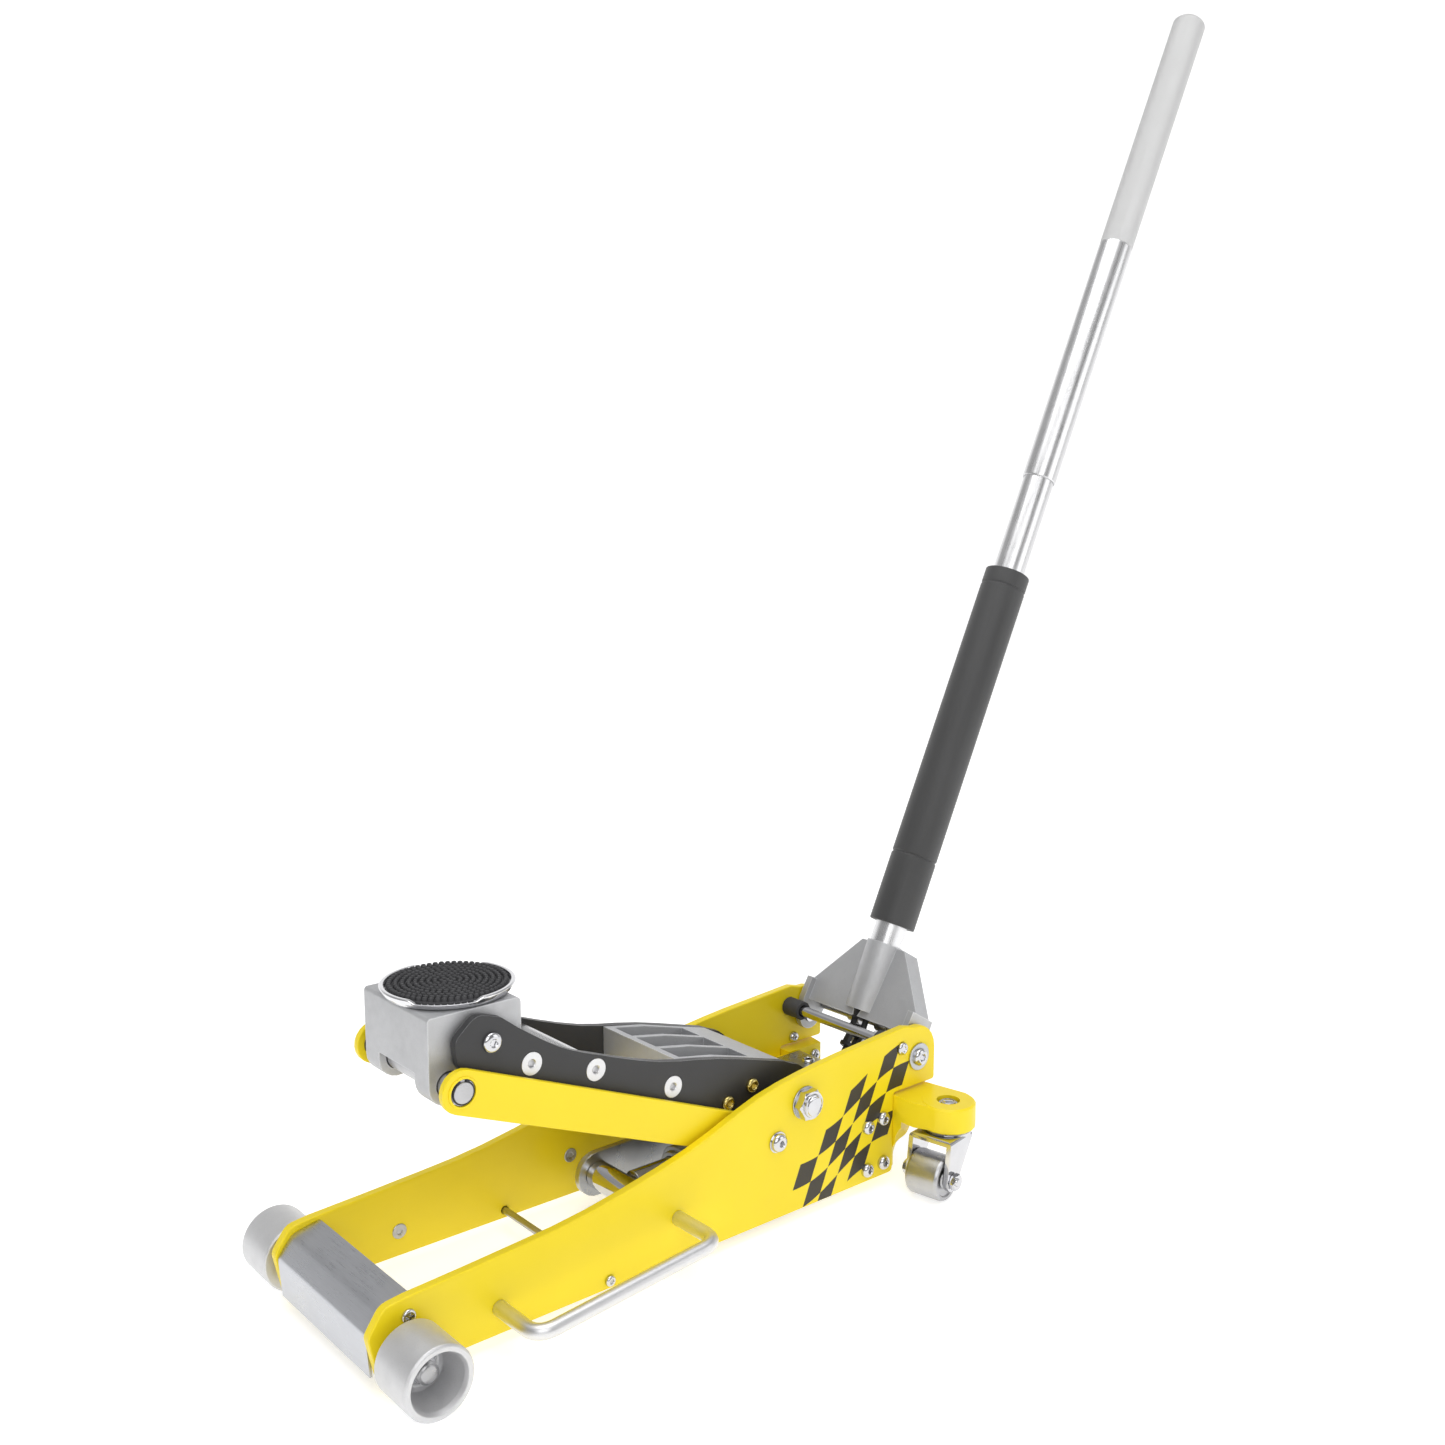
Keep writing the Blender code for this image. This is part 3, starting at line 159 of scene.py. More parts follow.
class Nodes:
    """A material's node tree, built from short calls."""

    def __init__(self, name):
        self.material = bpy.data.materials.new(name)
        self.material.use_nodes = True
        self.tree = self.material.node_tree
        self.shader = self.tree.nodes["Principled BSDF"]
        self.place = self.tree.nodes.new("ShaderNodeTexCoord").outputs["Object"]

    def feed(self, socket, value):
        """Links another node's output to a socket, or sets a fixed value there."""
        if isinstance(value, bpy.types.NodeSocket):
            self.tree.links.new(value, socket)
        else:
            socket.default_value = value

    def node(self, kind, inputs=(), **settings):
        made = self.tree.nodes.new("ShaderNode" + kind)
        for key, value in settings.items():
            setattr(made, key, value)
        for key, value in dict(inputs).items():
            self.feed(made.inputs[key], value)
        return made

    def noise(self, scale, detail=3.0, stretch=None, roughness=0.55):
        place = self.place
        if stretch:
            place = self.node("Mapping", {"Vector": place, "Scale": stretch}).outputs["Vector"]
        inputs = {"Vector": place, "Scale": scale, "Detail": detail, "Roughness": roughness}
        return self.node("TexNoise", inputs).outputs["Fac"]

    def spread(self, value, low, high, from_low=0.25, from_high=0.75):
        """Maps a noise on to a range of values."""
        limits = {"From Min": from_low, "From Max": from_high, "To Min": low, "To Max": high}
        return self.node("MapRange", {"Value": value, **limits}).outputs["Result"]

    def mixed(self, factor, one, two):
        """A colour between two others."""
        return self.node("Mix", {0: factor, 6: one, 7: two}, data_type="RGBA").outputs[2]

    def maths(self, operation, one, two=0.0):
        return self.node("Math", {0: one, 1: two}, operation=operation).outputs[0]

    def edges(self, radius, low=0.02, high=0.12):
        """1 along the outer and inner edges, 0 on the open faces."""
        bevel = self.node("Bevel", {"Radius": radius}, samples=6).outputs["Normal"]
        normal = self.node("NewGeometry").outputs["Normal"]
        along = self.node("VectorMath", {0: bevel, 1: normal}, operation="DOT_PRODUCT").outputs["Value"]
        return self.spread(self.maths("SUBTRACT", 1.0, along), 0.0, 1.0, low, high)

    def bumps(self, height, distance, strength=1.0, under=None):
        inputs = {"Height": height, "Distance": distance, "Strength": strength}
        if under is not None:
            inputs["Normal"] = under
        return self.node("Bump", inputs).outputs["Normal"]

    def finish(self, colour, roughness, normal=None, **fixed):
        targets = {"Base Color": colour, "Roughness": roughness, "Normal": normal}
        targets.update({key.replace("_", " "): value for key, value in fixed.items()})
        for key, value in targets.items():
            if value is not None:
                self.feed(self.shader.inputs[key], value)
        return self.material


def shade(colour, by=1.0):
    return (*(channel * by for channel in colour), 1.0)


def powder_coat(name, colour, gloss=0.36, worn_lit_top_edges=False, chequers=None):
    """Baked powder paint: a faint orange peel, small changes of gloss, and thin paint at the edges. With worn lit
    top edges, the upward-facing edges are lightened towards bare metal, as wear and as a painted highlight.
    """
    n = Nodes(name)
    tone = n.mixed(n.spread(n.noise(9, 4), 0, 1), shade(colour, 0.95), shade(colour, 1.03))
    edge = n.edges(0.0016)
    wear_and_highlight = shade(colour, 1.09)
    if worn_lit_top_edges:
        # painted highlight: only upward-facing edges are lightened, for the light they catch from above, together
        # with worn paint there
        facing = n.node("SeparateXYZ", {0: n.node("NewGeometry").outputs["Normal"]}).outputs["Z"]
        edge = n.maths("MULTIPLY", edge, n.spread(facing, 0, 1, 0.15, 0.5))
        wear_and_highlight = WORN_EDGE_HIGHLIGHT
    scuff_and_highlight = n.maths("MULTIPLY", edge, n.spread(n.noise(260, 4), 0.25, 1.0))
    if chequers:
        tone = n.mixed(chequers(n), tone, CHEQUER_DARK)
    tone = n.mixed(scuff_and_highlight, tone, wear_and_highlight)
    peel = n.bumps(n.noise(GRAIN["orange_peel"], 2), 0.00012, 0.35)
    rough = n.spread(n.noise(38, 5), gloss - 0.04, gloss + 0.07)
    metallic = n.maths("MULTIPLY", scuff_and_highlight, 0.8) if worn_lit_top_edges else 0.0
    return n.finish(tone, rough, peel, Metallic=metallic, Specular_IOR_Level=0.45)


def cast_metal(name, colour, gloss=0.5, grain=0.00022):
    """Sand-cast aluminium: a fine sandy skin with shallow waves, rubbed brighter along its edges."""
    n = Nodes(name)
    sand = n.noise(GRAIN["sand"], 5, roughness=0.7)
    tone = n.mixed(n.spread(n.noise(22, 6), 0, 1), shade(colour, 0.86), shade(colour, 1.08))
    tone = n.mixed(n.spread(sand, 0, 0.35, 0.25, 0.45), shade(colour, 0.7), tone)
    tone = n.mixed(n.maths("MULTIPLY", n.edges(0.0018), 0.6), tone, shade(colour, 1.3))
    wave = n.bumps(n.noise(60, 3), 0.0006, 0.5)
    skin = n.bumps(sand, grain, 0.8, under=wave)
    rough = n.spread(n.noise(140, 4), gloss - 0.07, gloss + 0.1)
    return n.finish(tone, rough, skin, Metallic=0.72)


def brushed_metal(name, colour, gloss=0.26, stretch=(1, 1, 0.02), marks=0.00004):
    """Drawn or brushed metal, with fine lines along one of its own axes."""
    n = Nodes(name)
    lines = n.noise(GRAIN["brush"], 4, stretch, 0.6)
    tone = n.mixed(n.spread(lines, 0, 1), shade(colour, 0.9), shade(colour, 1.05))
    tone = n.mixed(n.spread(n.noise(14, 5), 0, 0.35), tone, shade(colour, 0.84))
    smears = n.spread(n.noise(45, 4), -0.02, 0.06)
    rough = n.maths("ADD", n.spread(lines, gloss - 0.05, gloss + 0.06), smears)
    return n.finish(tone, rough, n.bumps(lines, marks, 0.5), Metallic=1.0)


def knurled_metal(name, colour, around, pitch, gloss=0.42):
    """A grip with two sets of crossing grooves, around +Z, with painted shade in the grooves."""
    n = Nodes(name)
    axes = n.node("SeparateXYZ", {0: n.place})
    turn = n.maths("ARCTAN2", axes.outputs["Y"], axes.outputs["X"])
    grooves = []
    for sense in (1, -1):
        climb = n.maths("MULTIPLY", axes.outputs["Z"], sense * 2 * math.pi / pitch)
        wave = n.maths("SINE", n.maths("ADD", n.maths("MULTIPLY", turn, around), climb))
        grooves.append(n.maths("ABSOLUTE", wave))
    height = n.maths("MULTIPLY", *grooves)
    # painted shade: the deeper the groove, the darker its colour
    tone = n.mixed(n.spread(height, 0, 1, 0.05, 0.5), shade(colour, 0.72), shade(colour, 1.0))
    tone = n.mixed(n.spread(n.noise(16, 4), 0, 0.25), tone, shade(colour, 0.8))
    return n.finish(tone, gloss, n.bumps(height, 0.0003, 0.9), Metallic=0.75)


def plated_metal(name, colour, gloss, cloud=0.06, metallic=1.0, tint=None):
    """Electroplate: near mirror, with faint clouds, hairlines and a duller line along its edges."""
    n = Nodes(name)
    patches = n.noise(55, 5)
    tone = n.mixed(n.spread(patches, 0, 1), shade(colour, 0.92), shade(tint or colour, 1.03))
    tone = n.mixed(n.maths("MULTIPLY", n.edges(0.0008), 0.3), tone, shade(colour, 0.8))
    hair = n.noise(GRAIN["hairlines"], 2, (1, 1, 0.06))
    rough = n.maths("ADD", n.spread(patches, gloss, gloss + cloud), n.spread(hair, 0.0, 0.03, 0.5, 0.75))
    return n.finish(tone, rough, n.bumps(hair, 0.00002, 0.25), Metallic=metallic)


def turned_metal(name, colour, gloss=0.3):
    """Bright machined steel, with the tool's fine marks."""
    n = Nodes(name)
    marks = n.noise(GRAIN["tool_marks"], 3, (0.15, 1, 0.15))
    tone = n.mixed(n.spread(n.noise(30, 5), 0, 1), shade(colour, 0.8), shade(colour, 1.08))
    rough = n.spread(marks, gloss - 0.05, gloss + 0.1)
    return n.finish(tone, rough, n.bumps(marks, 0.00003, 0.5), Metallic=1.0)


def rubber(name, colour, gloss=0.62, dust=0.35):
    """Moulded rubber, greyer where it is handled, with a fine matt skin."""
    n = Nodes(name)
    tone = n.mixed(n.spread(n.noise(70, 5), 0, dust), shade(colour), shade(colour, 2.2))
    tone = n.mixed(n.maths("MULTIPLY", n.edges(0.0010), 0.5), tone, shade(colour, 2.6))
    rough = n.spread(n.noise(200, 4), gloss - 0.08, gloss + 0.1)
    skin = n.bumps(n.noise(GRAIN["rubber"], 3), 0.0001, 0.5)
    return n.finish(tone, rough, skin, Specular_IOR_Level=0.4)


def foam(name, colour):
    """Fine closed-cell foam: small pores, a soft sheen, and long faint lighter streaks along it, which are painted
    highlights.
    """
    n = Nodes(name)
    cells = n.node("TexVoronoi", {"Vector": n.place, "Scale": GRAIN["cells"]}).outputs["Distance"]
    # painted highlight: long lighter streaks along the handle, for the light the foam catches
    highlight_streaks = n.noise(30, 5, (1, 1, 0.12))
    tone = n.mixed(n.spread(highlight_streaks, 0, 1, 0.3, 0.7), shade(colour, 0.8), shade(colour, 1.35))
    tone = n.mixed(n.spread(cells, 0.5, 0, 0.0, 0.35), tone, shade(colour, 0.55))
    rough = n.spread(highlight_streaks, 0.5, 0.62)
    skin = n.bumps(cells, 0.00012, 0.5, under=n.bumps(n.noise(25, 3), 0.0006, 0.4))
    return n.finish(tone, rough, skin, Specular_IOR_Level=0.5, Sheen_Weight=0.12, Sheen_Roughness=0.5)


CHEQUER_AT = jack(0.3780, 0.0490)  # where the patch's fourth row starts
CHEQUER_ALONG = (0.0208, 0.0064)  # from a cell to the next one to the rear
CHEQUER_UP = (0.0090, 0.0208)  # from a cell to the next one above
CHEQUER_WAVE = 0.0057  # height of the ripple that runs through the rows
CHEQUER_COLUMNS, CHEQUER_ROWS, CHEQUER_LOW_ROWS = 6, 5, 3
CHEQUER_CLIMB = (-2, 5)  # how far a cell's column may be ahead of its row


def chequers(n):
    """1 in the dark cells of a plain rippled patch on the outer faces of the side plates' rear."""
    axes = n.node("SeparateXYZ", {0: n.place})
    x = n.maths("SUBTRACT", axes.outputs["X"], CHEQUER_AT[0])
    z = n.maths("SUBTRACT", axes.outputs["Z"], CHEQUER_AT[1])
    area = CHEQUER_ALONG[0] * CHEQUER_UP[1] - CHEQUER_ALONG[1] * CHEQUER_UP[0]
    across = n.maths("MULTIPLY", z, -CHEQUER_UP[0] / area)
    column = n.maths("ADD", n.maths("MULTIPLY", x, CHEQUER_UP[1] / area), across)
    from_middle = n.maths("SUBTRACT", column, CHEQUER_COLUMNS / 2)
    phase = n.maths("MULTIPLY", from_middle, 2 * math.pi / CHEQUER_COLUMNS)
    level = n.maths("ADD", n.maths("MULTIPLY", column, CHEQUER_ALONG[1]),
                    n.maths("MULTIPLY", n.maths("SINE", phase), CHEQUER_WAVE))
    up = n.maths("DIVIDE", n.maths("SUBTRACT", z, level), CHEQUER_UP[1])
    along = n.maths("SUBTRACT", x, n.maths("MULTIPLY", up, CHEQUER_UP[0]))
    column = n.maths("DIVIDE", along, CHEQUER_ALONG[0])
    row = n.maths("ADD", up, float(CHEQUER_LOW_ROWS))
    column, row = n.maths("FLOOR", column), n.maths("FLOOR", row)
    dark = n.maths("LESS_THAN", n.maths("FLOORED_MODULO", n.maths("ADD", column, row), 2.0), 0.5)
    climb = n.maths("SUBTRACT", column, row)
    for value, low, high in ((column, 0, CHEQUER_COLUMNS), (row, 0, CHEQUER_ROWS), (climb, *CHEQUER_CLIMB)):
        dark = n.maths("MULTIPLY", dark, n.maths("GREATER_THAN", value, low - 0.5))
        dark = n.maths("MULTIPLY", dark, n.maths("LESS_THAN", value, high - 0.5))
    outside = n.maths("GREATER_THAN", n.maths("ABSOLUTE", axes.outputs["Y"]), PLATE_OUT - 0.0003)
    return n.maths("MULTIPLY", dark, outside)


YELLOW = (0.90, 0.70, 0.008)
RECIPES = [  # finish, slot, its maker, and the maker's settings
    ("yellow_coat", "yellow_coat", powder_coat, YELLOW),
    ("yellow_plate", "yellow_coat", powder_coat, YELLOW, 0.36, False, chequers),
    ("black_coat", "black_coat", powder_coat, (0.032, 0.032, 0.034), 0.42, True),
    ("cast_aluminium", "cast_aluminium", cast_metal, (0.66, 0.665, 0.68)),
    ("cast_wheel", "cast_aluminium", cast_metal, (0.82, 0.82, 0.83), 0.44, 0.00010),
    ("bare_aluminium", "bare_aluminium", brushed_metal, (0.80, 0.80, 0.81)),
    ("grip", "bare_aluminium", knurled_metal, (0.80, 0.80, 0.80), 44, 0.0024),
    ("zinc_plate", "zinc_plate", plated_metal, (0.50, 0.51, 0.53), 0.24, 0.12),
    ("gold_zinc", "zinc_plate", plated_metal, (0.62, 0.47, 0.13), 0.18, 0.1, 1.0, (0.55, 0.50, 0.24)),
    ("chrome", "chrome", plated_metal, (0.63, 0.63, 0.65), 0.05),
    ("bright_chrome", "chrome", plated_metal, (0.76, 0.76, 0.78), 0.08),
    ("satin_aluminium", "bare_aluminium", brushed_metal, (0.74, 0.74, 0.75), 0.36, (1, 1, 1), 0.00001),
    ("rolled_steel", "zinc_plate", brushed_metal, (0.56, 0.57, 0.60), 0.28, (1, 0.03, 1), 0.00002),
    ("steel", "steel", turned_metal, (0.50, 0.50, 0.51)),
    ("black_steel", "black_steel", plated_metal, (0.035, 0.035, 0.037), 0.3, 0.12, 0.6),
    ("rubber", "rubber", rubber, (0.040, 0.040, 0.043)),
    ("foam", "foam", foam, (0.046, 0.046, 0.047)),
]


def add_finishes():
    for name, slot, make, *settings in RECIPES:
        FINISHES[name] = make(name, *settings), slot


# ---- mesh tools
STEPS = 72  # sides of a round piece; a multiple of 12, so that hexagons have true corners


def finished(bm, name):
    bmesh.ops.recalc_face_normals(bm, faces=bm.faces)
    mesh = bpy.data.meshes.new(name)
    bm.to_mesh(mesh)
    bm.free()
    return mesh


def hexagonal(turn):
    return 1 / math.cos(turn % (math.pi / 3) - math.pi / 6)


def crossed(turn, width=0.3):
    """A cross recess, with arms of length 1."""
    c, s = max(abs(math.cos(turn)), 1e-6), max(abs(math.sin(turn)), 1e-6)
    return max(min(1 / c, width / s), min(1 / s, width / c))


def lathe(rings, name="turned", steps=STEPS, loop=False):
    """Turned about +Z from (radius, height) rings. A ring may have an outline too, such as hexagonal,
    and then a largest radius, which chamfers its corners. A loop makes a ring-shaped piece."""
    bm = bmesh.new()
    loops = []
    for radius, height, *shape in rings:
        if not radius:
            loops.append([bm.verts.new((0, 0, height))])
            continue
        verts = []
        for i in range(steps):
            turn = 2 * math.pi * i / steps
            reach = radius * (shape[0](turn) if shape else 1)
            reach = min(reach, shape[1]) if len(shape) > 1 else reach
            verts.append(bm.verts.new((reach * math.cos(turn), reach * math.sin(turn), height)))
        loops.append(verts)
    pairs = list(zip(loops, loops[1:]))
    if loop:
        pairs.append((loops[-1], loops[0]))
    for one, two in pairs:
        for i in range(steps):
            j = (i + 1) % steps
            corners = [one[i % len(one)], one[j % len(one)], two[j % len(two)], two[i % len(two)]]
            bm.faces.new(list(dict.fromkeys(corners)))
    return finished(bm, name)


def filleted(corners, parts=5):
    """A profile with rounded corners, given as (radius, height) or (radius, height, fillet)."""
    points = []
    for i, corner in enumerate(corners):
        here = Vector(corner[:2])
        fillet = corner[2] if len(corner) > 2 else 0
        if not fillet or i in (0, len(corners) - 1):
            points.append(tuple(here))
            continue
        to_last = (Vector(corners[i - 1][:2]) - here).normalized()
        to_next = (Vector(corners[i + 1][:2]) - here).normalized()
        half = to_last.angle(to_next) / 2
        first, last = here + to_last * fillet / math.tan(half), here + to_next * fillet / math.tan(half)
        for k in range(parts + 1):
            t = k / parts
            points.append(tuple(first * (1 - t) ** 2 + here * 2 * t * (1 - t) + last * t * t))
    return points


def swept(points, radius, sides=24, name="bar"):
    """A round bar along a path, with closed ends."""
    points = [Vector(p) for p in points]
    bm = bmesh.new()
    rings = []
    across = None
    for i, point in enumerate(points):
        ahead = (points[min(i + 1, len(points) - 1)] - points[max(i - 1, 0)]).normalized()
        across = ahead.orthogonal().normalized() if across is None else across
        across = (across - ahead * across.dot(ahead)).normalized()
        other = ahead.cross(across)
        turns = [2 * math.pi * k / sides for k in range(sides)]
        ways = [across * math.cos(turn) + other * math.sin(turn) for turn in turns]
        rings.append([bm.verts.new(point + radius * way) for way in ways])
    for one, two in zip(rings, rings[1:]):
        for k in range(sides):
            j = (k + 1) % sides
            bm.faces.new((one[k], one[j], two[j], two[k]))
    bm.faces.new(rings[0])
    bm.faces.new(rings[-1])
    return finished(bm, name)


def merged(meshes, name="merged"):
    """Several meshes as one, side by side. Each may come with its own matrix."""
    bm = bmesh.new()
    for item in meshes:
        mesh, matrix = item if isinstance(item, tuple) else (item, Matrix())
        mesh.transform(matrix)
        bm.from_mesh(mesh)
    return finished(bm, name)


def rod(radius, low, high):
    """A plain round bar along +Z."""
    return lathe([(0, low), (radius, low), (radius, high), (0, high)])


def lifted(height):
    return Matrix.Translation((0, 0, height))


def carved(mesh, tool_mesh):
    """The mesh with another one cut out of it."""
    pair = []
    for part_mesh in (mesh, tool_mesh):
        pair.append(bpy.data.objects.new("work", part_mesh))
        bpy.context.scene.collection.objects.link(pair[-1])
    modifier = pair[0].modifiers.new("cut", "BOOLEAN")
    modifier.operation, modifier.solver, modifier.object = "DIFFERENCE", "EXACT", pair[1]
    graph = bpy.context.evaluated_depsgraph_get()
    graph.update()
    result = bpy.data.meshes.new_from_object(pair[0].evaluated_get(graph))
    for item in pair:
        bpy.data.objects.remove(item, do_unlink=True)
    return result


# ---- pieces
def piece(name, mesh, finish, body, matrix=None, stands_for=(), sharp=32):
    """Shows a mesh with a finish, on a body, in place of the CAD nodes that it stands for."""
    material, slot = FINISHES[finish]
    mesh.materials.clear()
    mesh.materials.append(material)
    mesh.shade_smooth()
    mesh.set_sharp_from_angle(angle=math.radians(sharp))
    made = bpy.data.objects.new(name, mesh)
    bpy.context.scene.collection.objects.link(made)
    made.matrix_world = matrix or Matrix()
    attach(made, body)
    if stands_for:
        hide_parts(*stands_for)
    return made


def bevelled(made, width, segments=2, angle=32):
    modifier = made.modifiers.new("edges", "BEVEL")
    modifier.width, modifier.segments = width, segments
    modifier.limit_method, modifier.angle_limit = "ANGLE", math.radians(angle)
    modifier.harden_normals = True
    modifier.miter_outer = "MITER_ARC"
    return made


def copied(node):
    """A CAD node's shape, without the triangles that divide its flat faces."""
    bm = bmesh.new()
    bm.from_mesh(frame["nodes"][node].data)
    bmesh.ops.remove_doubles(bm, verts=bm.verts, dist=1e-6)
    bmesh.ops.dissolve_limit(bm, angle_limit=math.radians(0.4), verts=bm.verts, edges=bm.edges)
    mesh = finished(bm, node)
    for attribute in [a.name for a in mesh.attributes if a.name == "custom_normal"]:
        mesh.attributes.remove(mesh.attributes[attribute])
    return mesh


def detailed(node, finish, width=0.0008, segments=2, drill=None):
    """A CAD node with broken edges, and with holes drilled if a tool is given."""
    mesh = copied(node)
    if drill:
        mesh = carved(mesh, drill)
    body = next(name for name, nodes in frame["record"]["behaviour"]["bodies"].items() if node in nodes)
    made = piece(node + "_detailed", mesh, finish, body, stands_for=[node])
    return bevelled(made, width, segments) if width else made


# ---- fasteners, all standing on +Z
def nut(flats, height, bore_radius, collar=0.0):
    """A hexagon nut with chamfered corners and, for a locking nut, a round collar."""
    k = flats / 2
    corner = k * hexagonal(0)
    chamfer = (corner - k) * 0.6
    rings = [(bore_radius, 0), (k, 0, hexagonal, k * 1.01), (k, chamfer / 2, hexagonal, (k + corner) / 2)]
    rings += [(k, chamfer, hexagonal), (k, height - chamfer, hexagonal)]
    rings += [(k, height - chamfer / 2, hexagonal, (k + corner) / 2), (k, height, hexagonal, k * 1.01)]
    if collar:
        rings += filleted([(k * 0.84, height), (k * 0.82, height + collar, collar * 0.5),
                           (k * 0.62, height + collar * 1.1, collar * 0.3), (bore_radius + 0.0006, height)])
    rings.append((bore_radius, height - 0.0008))
    return lathe(rings, "nut", loop=True)


def bolt_end(radius, low, high, pitch=0.0011):
    """The threaded end of a bolt, with a rounded tip."""
    root = radius * 0.9
    rings = [(0, low), (root, low)]
    for i in range(max(1, int((high - low - 0.001) / pitch))):
        base = low + i * pitch
        rings += [(root, base + pitch * 0.1), (radius, base + pitch * 0.45), (radius, base + pitch * 0.6),
                  (root, base + pitch * 0.95)]
    rings += [(radius * 0.86, high - 0.0007), (radius * 0.7, high - 0.0001), (0, high)]
    return lathe(rings, "thread")


def button_head(radius, height, key, flange=0.0):
    """A domed head with a hexagon socket. A flange widens its foot."""
    flat = max(key * 1.35, radius * 0.45)
    rings = [(0, 0)]
    if flange:
        rings += filleted([(0.001, 0), (flange, 0, 0.0004), (flange, 0.0012, 0.0005), (radius, 0.0016)])
    rings.append((radius, 0.0 if not flange else 0.0014))
    rings.append((radius, height * 0.22))
    for degrees in range(12, 91, 13):
        a = math.radians(degrees)
        rings.append((flat + (radius - flat) * math.cos(a), height * (0.22 + 0.78 * math.sin(a))))
    rings += [(key * 1.28, height), (key, height - 0.0005, hexagonal), (key, height * 0.35, hexagonal),
              (0, height * 0.25)]
    return lathe(rings, "button")


def flush_screw(radius, key, sunk=0.0030):
    """A countersunk screw, level with the face that it is driven into."""
    cone = [(0, -0.0036), (radius * 0.6, -0.0036), (radius, -0.0006), (radius, -0.0002)]
    face = [(radius * 0.975, 0.0001), (key * 1.35, 0.0001), (key * 1.12, -0.0003)]
    socket = [(key, -0.0006, hexagonal), (key, -sunk, hexagonal), (0, -sunk - 0.0003)]
    return lathe(cone + face + socket, "flush_screw")


def cross_screw(radius, height):
    """A domed head with a cross recess."""
    rings = [(0, 0), (radius, 0), (radius, height * 0.3)]
    for degrees in range(15, 80, 15):
        a = math.radians(degrees)
        rings.append((radius * (0.68 + 0.32 * math.cos(a)), height * (0.3 + 0.7 * math.sin(a))))
    rings += [(radius * 0.66, height), (radius * 0.62, height, crossed),
              (radius * 0.5, height * 0.35, crossed), (0, height * 0.2)]
    return lathe(rings, "cross_screw", 96)


def washer(inner, outer, thick):
    profile = [(inner, 0), (outer - 0.0003, 0), (outer, 0.0003), (outer, thick - 0.0003)]
    return lathe(profile + [(outer - 0.0003, thick), (inner, thick)], "washer", loop=True)


def clip_ring(inner, outer, thick, gap=0.5, sides=48):
    """A spring clip that is open at the top, with an ear at each end."""
    bm = bmesh.new()
    sections = []
    for i in range(sides + 1):
        turn = math.pi / 2 + gap / 2 + (2 * math.pi - gap) * i / sides
        wide = outer + (0.0012 if i < 3 or i > sides - 3 else 0)
        corners = ((inner, 0), (wide, 0), (wide, thick), (inner, thick))
        sections.append([bm.verts.new((r * math.cos(turn), r * math.sin(turn), z)) for r, z in corners])
    for one, two in zip(sections, sections[1:]):
        for k in range(4):
            bm.faces.new((one[k], one[(k + 1) % 4], two[(k + 1) % 4], two[k]))
    bm.faces.new(sections[0])
    bm.faces.new(sections[-1])
    return finished(bm, "clip")


# ---- frame
BRACKET_BOLTS = [(0.4587, 0.0599), (0.4778, 0.0630), (0.4584, 0.0199), (0.4788, 0.0212)]
CARRY_R, CARRY_BEND = 0.006, 0.016  # radii of the handle's bar and of its two bends
CARRY_FEET = [(0.0786, 0.0296), (0.2442, 0.0448)]
FRONT_SCREW = (0.0056, 0.0507)
INNER_NUTS = [(0.5080, 0.0890, PLATE_IN), (0.5252, 0.0704, FLANGE_IN + 0.0005)]  # x, z and the face's y
TIE_SCREW_R, STOP_SCREW_R = 0.0044, 0.0058
LINK_BOLT_R, SOCKET_BOLT_R, LIFT_SHAFT_R = 0.0064, 0.0059, 0.0094
LIFT_FLATS, LIFT_CORNER_R = 0.0240, 0.0122  # across the flats of the nut and the bolt's head


def add_frame():
    for name, side in SIDES.items():
        detailed("side_plate_" + name, "yellow_plate", 0.0014, 3)
        detailed("caster_bracket_" + name, "yellow_coat", 0.0012, 3)
        detailed("stop_bumper_" + name, "rubber", 0.0007)
        for i, (x, z) in enumerate(BRACKET_BOLTS):
            head, place = button_head(0.0064, 0.0052, 0.0020), outward(side, *jack(x, z), PLATE_OUT)
            piece(f"bracket_bolt_{name}_{i}", head, "chrome", "frame", place)
        for i, (x, z) in enumerate(CARRY_FEET):
            screw = lathe([(0, 0), (0.0062, 0), (0.0062, 0.0004), (0.0058, 0.0008), (0.0030, 0.0008),
                           (0.0022, 0.0004, hexagonal), (0.0022, 0.0001, hexagonal), (0, 0.0001)])
            place = outward(-side, *jack(x, z), -PLATE_IN)
            piece(f"foot_screw_{name}_{i}", screw, "steel", "frame", place)
        for i, (x, z, y) in enumerate(INNER_NUTS):
            dome = button_head(0.0055, 0.0045, 0.0016)
            piece(f"inner_nut_{name}_{i}", dome, "chrome", "frame", outward(-side, *jack(x, z), -y))
        screw, place = cross_screw(0.0054, 0.0026), outward(side, *jack(*FRONT_SCREW), PLATE_OUT)
        piece("front_screw_" + name, screw, "chrome", "frame", place)
        for label, rod_at, radius in (("tie", TIE_ROD, TIE_SCREW_R), ("stop", STOP_ROD, STOP_SCREW_R)):
            head = button_head(radius, 0.0030, radius * 0.36)
            place = outward(side, rod_at.x, rod_at.z, FACE)
            piece(f"{label}_rod_screw_{name}", head, "chrome", "frame", place)
    detailed("front_cross_plate", "rolled_steel", 0.0004)
    detailed("front_tie_rod", "steel", 0)
    detailed("handle_stop_rod", "chrome", 0)
    add_carry_handles()
    add_pivots()


